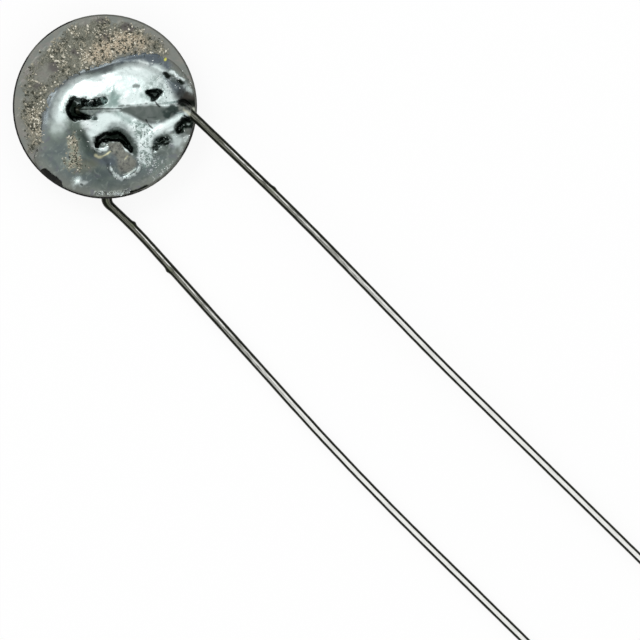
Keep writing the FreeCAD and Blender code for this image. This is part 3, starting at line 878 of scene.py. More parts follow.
UPPER_PIT: Outline = (
    (3.43, 1.96), (3.6, 2.0), (3.72, 1.88), (3.88, 1.82), (3.82, 1.68), (3.6, 1.68), (3.52, 1.82),
)
EDGE_PIT: Outline = ((4.22, 1.49), (4.43, 1.53), (4.6, 1.33), (4.47, 1.25))
LENS: Outline = (
    (0.92, -0.26), (1.2, -0.05), (1.7, 0.02), (2.31, 0.05), (2.88, 0.1), (3.16, 0.11), (3.53, -0.02),
    (4.1, 0.04), (4.25, -0.1), (4.1, -0.34), (3.81, -0.62), (3.28, -0.89), (2.75, -0.99),
    (2.23, -0.87), (1.74, -0.62), (1.25, -0.38),
)
LENS_END: Outline = ((3.5, 0.0), (4.1, 0.03), (4.25, -0.2), (3.83, -0.63), (3.4, -0.45))
MAUVE_PATCH: Outline = (
    (3.41, 1.86), (3.77, 1.74), (4.3, 1.49), (4.59, 1.25), (4.55, 0.88), (4.18, 0.56), (3.81, 0.88),
    (3.57, 1.29),
)
BROWN_PATCH: Outline = (
    (4.25, 0.34), (4.36, 0.6), (4.72, 0.86), (5.15, 0.84), (5.32, 0.5), (5.25, 0.14), (4.88, 0.0),
    (4.38, 0.08),
)
BLACK_CORNER: Outline = (
    (4.28, 0.28), (4.4, 0.36), (4.8, 0.34), (5.2, 0.34), (5.28, 0.0), (5.0, -0.16), (4.6, -0.06),
    (4.36, 0.02),
)
PALE_LOBE: Outline = (
    (-3.15, -1.1), (-2.8, -0.9), (-2.35, -1.0), (-2.2, -1.4), (-2.4, -1.9), (-2.9, -2.0), (-3.2, -1.6),
)
BRIGHT_WEB: Outline = (
    (2.6, -1.15), (3.3, -1.1), (3.95, -0.85), (4.0, -1.3), (3.75, -1.55), (3.2, -1.6), (2.7, -1.8),
)
DARK_LEFT: Outline = (
    (-1.25, -2.9), (-0.6, -2.95), (-0.4, -3.25), (-0.6, -3.6), (-1.1, -3.5), (-1.35, -3.2),
)
# Outlines where the bright tin carries painted highlight.
BRIGHT_UPPER: Outline = (
    (-2.82, -0.8), (-2.88, -0.04), (-2.68, 0.55), (-2.16, 1.14), (-1.42, 1.59), (-0.49, 1.66),
    (0.29, 1.82), (0.91, 2.25), (1.69, 2.48), (2.5, 2.45), (3.15, 2.2), (3.58, 1.78), (3.6, 1.25),
    (3.75, 0.9), (3.95, 0.5), (4.1, 0.2), (3.25, 0.05), (2.47, 0.19), (1.69, -0.04), (0.91, -0.14),
    (0.14, 0.0), (-0.18, 0.38), (-1.11, 0.46), (-1.73, 0.7), (-2.16, 0.38), (-2.34, -0.2),
    (-2.28, -0.82), (-2.55, -1.29), (-2.9, -1.29),
)
BRIGHT_MIDDLE: Outline = (
    (-1.42, -0.86), (-0.64, -0.7), (-0.33, -0.43), (0.14, -0.32), (0.91, -0.32), (1.54, -0.51),
    (2.16, -0.8), (2.86, -1.0), (3.64, -0.78), (4.26, -0.43), (4.8, -0.28), (5.04, -0.43),
    (4.65, -0.67), (4.02, -1.02), (3.48, -1.48), (2.86, -1.68), (2.7, -2.22), (2.75, -2.84),
    (2.55, -3.3), (2.1, -3.45), (1.9, -2.95), (1.77, -2.3), (1.38, -1.68), (0.91, -1.29), (0.6, -1.25),
    (0.14, -1.4), (-0.41, -1.75), (-0.64, -2.22), (-0.72, -2.42), (-0.95, -1.95), (-1.26, -1.29),
)
BRIGHT_RIGHT: Outline = (
    (3.91, -1.68), (4.34, -1.6), (4.76, -1.72), (4.69, -2.07), (4.26, -2.42), (3.91, -2.3),
)
SHADE_LEFT: Outline = (
    (0.21, 0.89), (0.52, 1.2), (0.8, 0.73), (0.95, 0.42), (0.7, -0.02), (0.1, -0.05), (-0.1, 0.1),
    (0.15, 0.3),
)
SHADE_RIGHT: Outline = (
    (2.16, 0.73), (2.47, 1.2), (2.7, 1.51), (3.09, 1.51), (3.48, 1.2), (3.56, 0.73), (3.4, 0.27),
    (2.86, 0.19), (2.39, 0.27),
)
SLATE_POOL: Outline = (
    (0.91, 2.52), (1.22, 2.83), (1.77, 3.07), (2.39, 3.18), (3.01, 3.07), (3.56, 2.6), (3.71, 2.13),
    (3.25, 2.38), (2.62, 2.6), (1.85, 2.68), (1.3, 2.56),
)
# The line of painted shade along the mound's foot.
MENISCUS_SHADE_LINE: Outline = (
    (-3.75, -1.6), (-3.6, -0.67), (-3.4, 0.11), (-3.17, 0.62), (-2.74, 1.12), (-2.2, 1.59),
    (-1.58, 1.98), (-0.95, 2.25), (-0.18, 2.41), (0.6, 2.6), (1.15, 2.83), (1.77, 3.01),
    (2.39, 3.07), (2.94, 2.95), (3.44, 2.6),
)
SAGE: Outline = (
    (-2.43, -0.82), (-1.73, -0.74), (-1.26, -1.05), (-1.03, -1.6), (-0.8, -2.22), (-0.64, -2.77),
    (-0.95, -3.0), (-1.34, -2.61), (-1.58, -2.07), (-1.89, -1.68), (-2.28, -1.37),
)
TROUGH: Outline = (
    (-1.42, -1.52), (-1.03, -1.68), (-0.8, -2.15), (-0.55, -2.7), (-0.3, -3.05), (-0.75, -3.15),
    (-1.2, -2.85), (-1.42, -2.14),
)
LOW_FILM: Outline = (
    (-1.5, -3.2), (-0.6, -3.2), (0.2, -3.6), (0.7, -4.3), (1.4, -4.45), (1.4, -4.8), (0.2, -4.9),
    (-0.6, -4.7), (-0.85, -4.1), (-1.6, -3.9),
)
WIRE_ELBOW: Outline = ((4.2, -0.06), (4.55, -0.1), (4.85, -0.28), (5.1, -0.52))
SHOULDER: Outline = (
    (-3.36, -0.6), (-3.33, -0.04), (-3.09, 0.58), (-2.66, 1.16), (-1.89, 1.67), (-0.88, 2.1),
    (0.33, 2.37), (0.8, 2.64),
)
DUSK: Outline = (
    (-0.9, -2.75), (-0.5, -3.0), (-0.2, -2.97), (0.1, -2.98), (0.45, -2.82), (0.62, -3.0),
    (0.68, -3.35), (0.4, -3.5), (0.0, -3.4), (-0.6, -3.15),
)
BROWN_GLOW: Outline = (
    (-1.73, -3.15), (-1.11, -3.04), (-0.49, -3.23), (-0.72, -3.62), (-1.42, -3.85), (-1.81, -3.7),
)
LIGHT_LEFT: Outline = (
    (-3.13, -0.43), (-2.74, -0.51), (-2.43, -1.05), (-2.51, -1.6), (-2.9, -1.68), (-3.17, -1.21),
)
CRUST: Outline = (
    (-4.33, -2.66), (-4.74, -1.4), (-4.78, 0.48), (-4.42, 1.62), (-3.89, 2.68), (-3.23, 3.49),
    (-2.5, 4.18), (-1.85, 4.67), (-0.38, 5.0), (0.92, 4.86), (2.14, 4.53), (2.88, 4.12), (3.49, 3.57),
    (3.69, 3.1), (3.4, 2.95), (2.88, 3.2), (2.06, 3.25), (1.25, 3.05), (0.43, 2.62), (-0.55, 2.25),
    (-1.52, 1.9), (-2.18, 1.5), (-2.83, 0.95), (-3.3, 0.31), (-3.55, -0.91), (-3.6, -2.13),
)
WARM_CRUST: Outline = (
    (-1.2, 2.76), (-0.55, 3.57), (0.43, 4.14), (1.57, 4.22), (2.55, 3.82), (2.23, 3.41), (1.08, 3.08),
    (-0.06, 2.68), (-0.87, 2.51),
)
WARM_CRUST_LOW: Outline = (
    (-4.5, -0.6), (-4.2, -0.2), (-3.85, -0.6), (-3.8, -1.5), (-4.1, -2.1), (-4.45, -1.6),
)
BARE_SPOT: Outline = ((-4.1, 1.8), (-3.6, 2.4), (-3.0, 2.35), (-2.9, 1.7), (-3.3, 1.2), (-3.9, 1.2))
ISLAND: Outline = (
    (-1.85, -1.64), (-1.52, -1.97), (-1.4, -2.62), (-1.2, -3.44), (-1.69, -3.6), (-2.18, -3.35),
    (-2.09, -2.62), (-2.01, -2.05),
)
FLAKE: Outline = (
    (-3.66, -3.64), (-3.4, -3.64), (-3.11, -3.88), (-2.7, -4.17), (-2.5, -4.45), (-2.42, -4.9),
    (-3.3, -4.6), (-4.0, -3.9),
)
TOP_MAUVE: Outline = ((-0.53, 5.0), (-0.18, 5.15), (0.21, 5.07), (0.17, 4.85), (-0.33, 4.8))
TOP_DARK: Outline = ((0.91, 4.66), (1.3, 4.78), (1.69, 4.58), (1.57, 4.37), (1.07, 4.43))
FRONT_POOL: Outline = (
    (4, 0.915), (17, 0.85), (32, 0.762), (50, 0.66), (72, 0.532), (101, 0.437), (131, 0.481),
    (157, 0.563), (180, 0.631), (199, 0.678), (213, 0.64), (227, 0.47), (246, 0.45),
    (262, 0.575), (277, 0.705), (288, 0.8), (300, 0.79), (311, 0.79), (322, 0.9), (336, 0.955),
    (350, 0.965),
)
REAR_POOL: Outline = (
    (0, 0.955), (14, 0.83), (32, 0.62), (60, 0.47), (95, 0.43), (130, 0.47), (160, 0.6),
    (182, 0.66), (205, 0.61), (235, 0.53), (268, 0.52), (300, 0.6), (325, 0.75), (345, 0.89),
)


# Pieces

@dataclass(frozen=True)
class Patch:
    """A mark inside a drawn outline, used for stain, painted shade and painted highlight."""

    outline: Outline
    soft: float = 0.12
    strength: float = 1.0
    ragged: float = 0.05
    inset: float = 0.0

    def mask(self, right: np.ndarray, up: np.ndarray) -> np.ndarray:
        """Strength of the stain at each place."""
        depth = depth_inside(right, up, self.outline) - self.inset + self.ragged * rough(right, up, 0.3, 81)
        return self.strength * rise(depth, -self.soft, self.soft)


@dataclass(frozen=True)
class Stroke:
    """A mark along a drawn line, used for stain, painted shade and painted highlight."""

    line: Outline
    width: float
    soft: float = 0.05
    strength: float = 1.0
    ragged: float = 0.02

    def mask(self, right: np.ndarray, up: np.ndarray) -> np.ndarray:
        """Strength of the stain at each place."""
        waver = self.ragged * rough(right, up, 0.2, 83)
        inside = self.width - beside(right, up, self.line) + waver
        return self.strength * rise(inside, -self.soft, self.soft)


def strongest(marks: Marks, right: np.ndarray, up: np.ndarray) -> np.ndarray:
    """Strength of the strongest of some marks at each place."""
    return np.max([mark.mask(right, up) for mark in marks], axis=0)


@dataclass(frozen=True)
class Ridge:
    """A soft rounded ridge along a drawn line."""

    line: Outline
    lift: float
    width: float

    def height(self, right: np.ndarray, up: np.ndarray) -> np.ndarray:
        """What the ridge adds at each place."""
        return self.lift * np.exp(-(beside(right, up, self.line) / self.width) ** 2)


@dataclass(frozen=True)
class Pit:
    """A ragged pit: its outline, the level of its floor and how wide its wall slopes."""

    outline: Outline
    floor: float
    wall: float


FRONT_STAINS_AND_PAINTED_LIGHT: dict[str, tuple[Patch | Stroke, ...]] = {
    # Painted shade: the dark band where the mound's foot slopes down to the film.
    "meniscus_shade": (
        Stroke(MENISCUS_SHADE_LINE, 0.3, 0.34, 1.0),
    ),
    # Bright tin, also painted highlight: the lit lobes of the mound and thin glints on lips, edges, the
    # droplet and round a pit.
    "bright": (
        Patch(BRIGHT_UPPER, 0.26, 1.0, 0.1, -0.2),
        Patch(BRIGHT_MIDDLE, 0.16, 1.0, 0.08),
        Patch(BRIGHT_RIGHT, 0.24, 0.6, 0.16),
        Patch(BRIGHT_WEB, 0.14, 1.0, 0.1),
        Patch(LIGHT_LEFT, 0.35, 0.45, 0.1),
        Stroke(((4.98, 0.02), (5.12, -0.12), (5.22, -0.26)), 0.08, 0.1, 0.5),
        Stroke(((-0.9, -1.6), (-0.78, -1.95), (-0.7, -2.2), (-0.6, -2.42), (-0.44, -2.57), (-0.25, -2.64)),
               0.05, 0.06),
        Stroke(((-0.4, -2.42), (-0.22, -2.5), (0.0, -2.5), (0.14, -2.38)), 0.1, 0.05),
        Stroke(((-0.08, -2.13), (-0.03, -2.14)), 0.05, 0.04),
        Stroke(((0.45, -2.08), (0.5, -2.07)), 0.05, 0.04),
        Stroke(((5.03, -1.04), (5.08, -1.08)), 0.04, 0.05, 0.9),
        Stroke(((0.31, -3.47), (0.45, -3.85), (0.76, -4.13), (1.07, -4.17), (1.46, -4.05),
                (1.77, -3.85), (2.0, -3.58)), 0.06, 0.08, 1.0, 0.08),
        Stroke(((3.85, 2.02), (4.1, 1.86), (4.35, 1.66), (4.62, 1.5)), 0.05, 0.07, 0.9, 0.1),
        Stroke(((4.72, 1.35), (4.86, 1.05), (4.98, 0.85)), 0.12, 0.14, 0.75, 0.14),
        Stroke(((-0.46, -5.05), (0.11, -5.1), (0.76, -5.08), (1.41, -4.97)), 0.05, 0.06, 0.45, 0.12),
        Stroke(((-1.75, -4.5), (-1.5, -4.4), (-1.2, -4.44)), 0.08, 0.2, 0.45, 0.14),
        Stroke(((2.35, 0.84), (2.6, 0.98), (2.97, 1.12), (3.4, 0.98)), 0.05, 0.05, 0.9),
    ),
    "shade": (
        Patch(SHADE_LEFT, 0.26, 1.0, 0.14),
        Stroke(((-1.0, 1.95), (-0.3, 2.05), (0.3, 2.2), (0.85, 2.45)), 0.14, 0.22, 0.6, 0.06),
        Patch(SHADE_RIGHT, 0.2, 0.2, 0.15),
        Stroke(((0.75, -0.42), (1.3, -0.78), (1.9, -1.02), (2.4, -1.1)), 0.14, 0.18, 0.7, 0.08),
    ),
    # Painted shade: the greenish grey of the mound's lower left flank.
    "sage": (
        Patch(SAGE, 0.3, 0.55, 0.05),
        Patch(PALE_LOBE, 0.3, 0.45, 0.1),
    ),
    # Painted shade in hollows, creases, the dark end of the lens and along the wire's upper edge.
    "trough_shade": (
        Patch(TROUGH, 0.28, 0.75, 0.05),
        Patch(LOW_FILM, 0.35, 0.4, 0.15),
        Patch(LENS_END, 0.16, 0.9, 0.2),
        Stroke(((2.5, -0.65), (2.96, -0.64)), 0.03, 0.04, 0.5),
        Patch(DARK_LEFT, 0.3, 0.6, 0.1),
        Stroke(((4.1, 1.3), (4.25, 1.15), (4.3, 0.98)), 0.08, 0.12, 0.7, 0.08),
        Stroke(((1.4, -3.05), (1.42, -3.15)), 0.05, 0.05, 0.6),
        Stroke(((3.5, 1.55), (3.75, 1.4), (4.0, 1.1)), 0.1, 0.18, 0.6, 0.08),
        Stroke(((4.45, -1.75), (4.8, -1.5), (5.15, -1.35)), 0.15, 0.2, 0.4, 0.1),
        Stroke(((0.3, -1.2), (0.6, -1.05), (1.05, -1.12), (1.45, -1.5)), 0.15, 0.22, 0.6, 0.06),
        Stroke(((4.45, 0.04), (4.75, 0.02), (4.95, -0.12), (5.1, -0.26)), 0.04, 0.05, 0.9),
    ),
    # Painted shade: dim blue-grey on the mound's shoulder, the flat pool at its foot and the patch above the
    # wire's exit.
    "dusk_shade": (
        Patch(DUSK, 0.2, 0.85, 0.05),
        Stroke(SHOULDER, 0.13, 0.26, 0.5, 0.08),
        Patch(SLATE_POOL, 0.3, 0.95, 0.25, -0.08),
        Stroke(((3.72, 1.55), (3.76, 1.2), (3.86, 0.9)), 0.1, 0.2, 0.5, 0.12),
        Patch(MAUVE_PATCH, 0.35, 0.75, 0.2),
    ),
    "ash": (
        Patch(PLATE, 0.16, 1.0, 0.1),
        Stroke(((4.35, -0.06), (4.65, -0.12), (4.88, -0.28), (5.05, -0.5)), 0.14, 0.12, 0.65),
    ),
    # Dull smooth solder over the wire, darkened with painted shade.
    "dull_lens_shade": (
        Patch(LENS, 0.13, 1.0, 0.05),
        Stroke(((0.84, 0.0), (1.38, 0.05), (2.0, 0.1), (2.47, 0.14)), 0.04, 0.04, 0.8, 0.05),
        Stroke(((1.77, 1.18), (2.0, 1.18)), 0.11, 0.08, 0.8, 0.05),
    ),
    "warm": (
        Stroke(((-0.5, -2.84), (-0.36, -2.93), (-0.15, -2.9)), 0.05, 0.1, 0.75, 0.03),
        Stroke(((-0.15, -2.9), (0.08, -2.79), (0.34, -2.62)), 0.03, 0.05, 1.0, 0.02),
        Stroke(((1.19, -3.07), (1.33, -2.89)), 0.03, 0.05, 0.4, 0.03),
        Patch(ISLAND, 0.3, 0.25, 0.3),
        Patch(BROWN_GLOW, 0.3, 0.1, 0.1),
        Stroke(((4.6, -0.22), (4.8, -0.34), (4.95, -0.5)), 0.05, 0.08, 0.4),
        Stroke(((4.98, 0.02), (5.12, -0.12), (5.22, -0.26)), 0.1, 0.12, 0.3),
    ),
    "gold": (
        Stroke(((3.5, 2.7), (3.53, 2.78)), 0.06, 0.05, 1.0, 0.03),
    ),
    "scorch": (
        Patch(BROWN_GLOW, 0.3, 0.2, 0.1),
        Patch(BROWN_PATCH, 0.26, 0.86, 0.14),
        Patch(FAR_SCORCH, 0.25, 0.5, 0.1),
    ),
    # Painted shade: dark grey in and round the cavity, the blow-hole and the pits.
    "pit_shade": (
        Patch(CAVITY, 0.22, 0.92, 0.14),
        Patch(BLOW_HOLE, 0.26, 0.9, 0.22, 0.02),
        Stroke(((0.38, -2.58), (0.44, -2.62)), 0.05, 0.04, 0.7),
        Stroke(((-0.6, 0.6), (-0.25, 0.66), (0.08, 0.6)), 0.05, 0.12, 0.6, 0.14),
        Stroke(((0.68, -2.64), (0.74, -2.7)), 0.04, 0.04, 0.6),
        Stroke(((1.0, -3.86), (1.22, -3.87)), 0.06, 0.06, 0.6, 0.05),
        Stroke(((-0.34, -4.3), (-0.26, -4.33)), 0.05, 0.08, 0.6),
        Stroke(((2.2, -4.2), (2.46, -4.1)), 0.06, 0.08, 0.5, 0.06),
        Stroke(((2.4, -3.18), (2.5, -3.26)), 0.06, 0.06, 0.6, 0.05),
        Patch(DIAMOND_PIT, 0.06, 0.95, 0.06),
        Patch(SIDE_PIT, 0.18, 0.92, 0.14, 0.05),
        Patch(RIM_PIT, 0.12, 0.95, 0.08),
        Patch(UPPER_PIT, 0.12, 0.9, 0.1),
        Patch(EDGE_PIT, 0.12, 0.85, 0.1),
    ),
    # Painted shadow: black in the pits, cracks and creases.
    "pit_and_crack_shadow": (
        Patch(CAVITY_CORE, 0.16, 0.97, 0.12),
        Patch(CAVITY, 0.14, 0.55, 0.16, 0.12),
        Patch(BLOW_CORE, 0.12, 0.98, 0.1, -0.02),
        Patch(DIAMOND_PIT, 0.1, 0.62, 0.12, 0.05),
        Patch(SIDE_PIT, 0.22, 0.75, 0.2, 0.14),
        Patch(RIM_PIT, 0.1, 0.97, 0.1, 0.03),
        Patch(UPPER_PIT, 0.07, 0.95, 0.06, -0.02),
        Patch(EDGE_PIT, 0.07, 0.95, 0.06, -0.02),
        Stroke(((-1.38, -4.52), (-1.3, -4.56)), 0.04, 0.04, 0.8),
        Patch(BLACK_CORNER, 0.12, 0.9, 0.1),
        Stroke(((-1.61, -0.16), (-1.03, -0.17), (-0.18, -0.15), (0.5, -0.15), (0.95, -0.14)), 0.035, 0.03),
        Stroke(((2.92, 0.35), (3.02, 0.15), (3.2, -0.03)), 0.045, 0.03, 0.9),
        Stroke(((2.4, -0.78), (2.5, -0.98), (2.63, -1.14), (2.8, -1.3)), 0.045, 0.04, 0.95),
        Stroke(((1.5, -5.0), (1.85, -4.9), (2.2, -4.75), (2.42, -4.64)), 0.1, 0.04, 1.0),
    ),
}


FRONT_FROST: tuple[Patch | Stroke, ...] = (
    Patch(((1.69, -0.82), (2.47, -0.92), (2.75, -1.2), (2.75, -1.6), (2.6, -2.22), (2.86, -2.77),
           (3.0, -3.15), (2.9, -3.5), (2.5, -3.6), (2.08, -3.54), (1.77, -2.77), (1.85, -1.99),
           (1.54, -1.37)), 0.35, 0.9, 0.15),
    Patch(((2.8, -3.0), (3.48, -3.0), (4.26, -2.9), (4.65, -2.38), (4.96, -1.99), (4.8, -3.15),
           (4.02, -3.93), (2.86, -4.17), (2.4, -3.6)), 0.35, 0.4, 0.15),
    Patch(((2.2, 0.4), (2.3, 1.2), (3.0, 2.0), (3.7, 2.2), (4.4, 1.9), (4.9, 1.2), (4.6, 0.9),
           (4.0, 0.6), (3.6, 0.2), (2.9, 0.15)), 0.3, 0.45, 0.15),
    Patch(SAGE, 0.4, 0.25, 0.1),
    Patch(SLATE_POOL, 0.2, 0.3, 0.2, -0.1),
)
FOAM: tuple[Stroke, ...] = (
    Stroke(((-1.6, 0.42), (-1.1, 0.36), (-0.72, 0.24), (-0.35, 0.28), (0.05, 0.35)), 0.26, 0.1),
    Stroke(((-1.75, -0.8), (-1.2, -0.66), (-0.75, -0.68)), 0.14, 0.08, 0.8),
    Stroke(((2.9, -2.6), (3.1, -2.3), (3.5, -2.15), (3.75, -2.0)), 0.12, 0.08, 0.7),
    Stroke(((-0.45, -2.25), (-0.35, -1.95), (0.0, -1.7)), 0.08, 0.1, 0.3),
    Stroke(((4.2, -1.4), (4.5, -1.15), (4.9, -1.0)), 0.08, 0.06, 0.5),
)
FRONT_BEADS: tuple[Patch | Stroke, ...] = (
    Stroke(((-1.42, 0.6), (-1.11, 0.5), (-0.72, 0.38), (-0.33, 0.5)), 0.08, 0.06),
    Stroke(((-0.46, -5.02), (0.11, -5.08), (0.76, -5.05), (1.41, -4.93)), 0.08, 0.06),
    Stroke(((0.31, -3.47), (0.45, -3.85), (0.76, -4.13), (1.07, -4.17), (1.46, -4.05), (1.77, -3.85)),
           0.1, 0.1, 0.7),
    Patch(SIDE_PIT, 0.1, 0.25),
    Patch(BRIGHT_RIGHT, 0.3, 0.3),
    Stroke(((4.61, 2.13), (4.8, 1.82), (5.02, 1.43), (5.1, 0.97)), 0.15, 0.12, 0.6),
    Stroke(((2.1, -3.0), (2.3, -3.3), (2.9, -3.4)), 0.2, 0.2, 0.6),
    Stroke(((0.0, -2.3), (0.4, -2.1), (0.5, -2.5)), 0.1, 0.1, 0.5),
    Stroke(((0.9, 2.9), (1.8, 3.12), (2.6, 3.2), (3.2, 3.02), (3.6, 2.7)), 0.1, 0.1, 0.35, 0.1),
)


# A thin painted highlight along the plate's upper edge.
PLATE_EDGE_GLINT = Stroke(((0.95, -2.2), (1.15, -2.45), (1.4, -2.67), (1.6, -2.8)), 0.035, 0.03, 0.8, 0.04)
COAT_BLOTCHES: tuple[Patch, ...] = (
    Patch(TOP_MAUVE, 0.1, 0.6),
    Patch(TOP_DARK, 0.12, 0.8, 0.1),
    Patch(((-3.2, 2.45), (-2.85, 2.6), (-2.65, 2.2), (-2.95, 2.0), (-3.15, 2.15)), 0.15, 0.75, 0.1),
    Patch(((-4.25, 1.25), (-3.9, 1.4), (-3.55, 1.3), (-3.75, 1.0), (-4.1, 1.0)), 0.15, 0.7, 0.1),
    Patch(((-1.95, 3.2), (-1.6, 3.3), (-1.35, 3.0), (-1.6, 2.9), (-1.9, 3.0)), 0.12, 0.75, 0.1),
    Patch(((-0.3, 4.2), (0.1, 4.35), (0.4, 4.15), (0.1, 3.9), (-0.2, 3.95)), 0.15, 0.7, 0.1),
    Patch(((1.5, -5.15), (2.0, -5.0), (2.5, -4.75), (2.4, -4.55), (1.9, -4.78), (1.45, -4.95)),
          0.04, 1.0, 0.02),
)


FRONT_RIDGES: tuple[Ridge, ...] = (
    Ridge(((-0.87, -1.97), (-0.71, -2.38), (-0.5, -2.7)), 0.08, 0.28),
    Ridge(((0.31, -3.44), (0.43, -3.72), (0.76, -3.97), (1.08, -4.13), (1.57, -3.92), (1.94, -3.6),
           (2.04, -3.31)), 0.12, 0.16),
    Ridge(((4.83, -0.34), (4.34, -0.75), (3.9, -1.03), (3.28, -1.32), (2.71, -1.64)), 0.08, 0.2),
)
CRATER_LIP = Ridge(((-0.5, -2.45), (-0.2, -2.5), (0.2, -2.36)), 0.1, 0.16)
FRONT_PITS: tuple[Pit, ...] = (
    Pit(CAVITY, 0.07, 0.28),
    Pit(BLOW_HOLE, 0.4, 0.5),
    Pit(BLOW_CORE, 0.05, 0.16),
    Pit(DIAMOND_PIT, 0.1, 0.24),
    Pit(SIDE_PIT, 0.1, 0.3),
    Pit(RIM_PIT, 0.05, 0.34),
    Pit(UPPER_PIT, 0.15, 0.14),
    Pit(EDGE_PIT, 0.12, 0.14),
)
FILM_EDGE: Outline = ((-3.0, -4.2), (-1.0, -5.1), (1.0, -5.1), (3.5, -3.9), (4.9, -1.9))
LOW_STREAK: Outline = ((-0.46, -5.05), (0.11, -5.1), (0.76, -5.08), (1.41, -4.97))
GENTLE_PROFILE: Outline = ((0, 1), (0.36, 1), (0.66, 0.8), (0.88, 0.42), (1, 0))
REAR_PROFILE: Outline = ((0, 1), (0.4, 1), (0.66, 0.85), (0.88, 0.5), (1, 0))


@dataclass(frozen=True)
class Mound:
    """A solder mound: a flat-topped hill over a ring of places, steepest at its foot."""

    ring: Outline
    height: float
    crown: tuple[float, float]
    coat_radius: float
    profile: Outline = ((0, 1), (0.42, 1), (0.68, 0.88), (0.86, 0.56), (1, 0))

    def centre(self) -> tuple[float, float]:
        """Right and up of the mound's crown."""
        return self.crown[0] * self.coat_radius, self.crown[1] * self.coat_radius

    def foot(self, steps: int) -> np.ndarray:
        """The smooth line round the mound's foot, with some steps between two corners."""
        corners = [(share * self.coat_radius * math.cos(math.radians(turn)),
                    share * self.coat_radius * math.sin(math.radians(turn))) for turn, share in self.ring]
        return smooth_line(corners, closed=True, steps=steps)

    def level(self, right: np.ndarray, up: np.ndarray) -> np.ndarray:
        """Height above the coat at each place.

        Args:
            right: Right coordinates in millimetres.
            up: Up coordinates in millimetres.

        Returns:
            The height, negative outside the ring.
        """
        centre = self.centre()
        turn = np.arctan2(up - centre[1], right - centre[0]) % (2 * HALF_TURN)
        share = np.hypot(up - centre[1], right - centre[0]) / reach_to(self.foot(8), centre, turn)
        shares, heights = zip(*self.profile)
        fine = np.linspace(0, 1.3, 131)
        coarse = np.interp(fine, shares + (1.3,), heights + (-0.6,))
        eased = np.convolve(np.pad(coarse, 4, mode="edge"), np.ones(9) / 9, mode="valid")
        return self.height * np.interp(share, fine, eased)


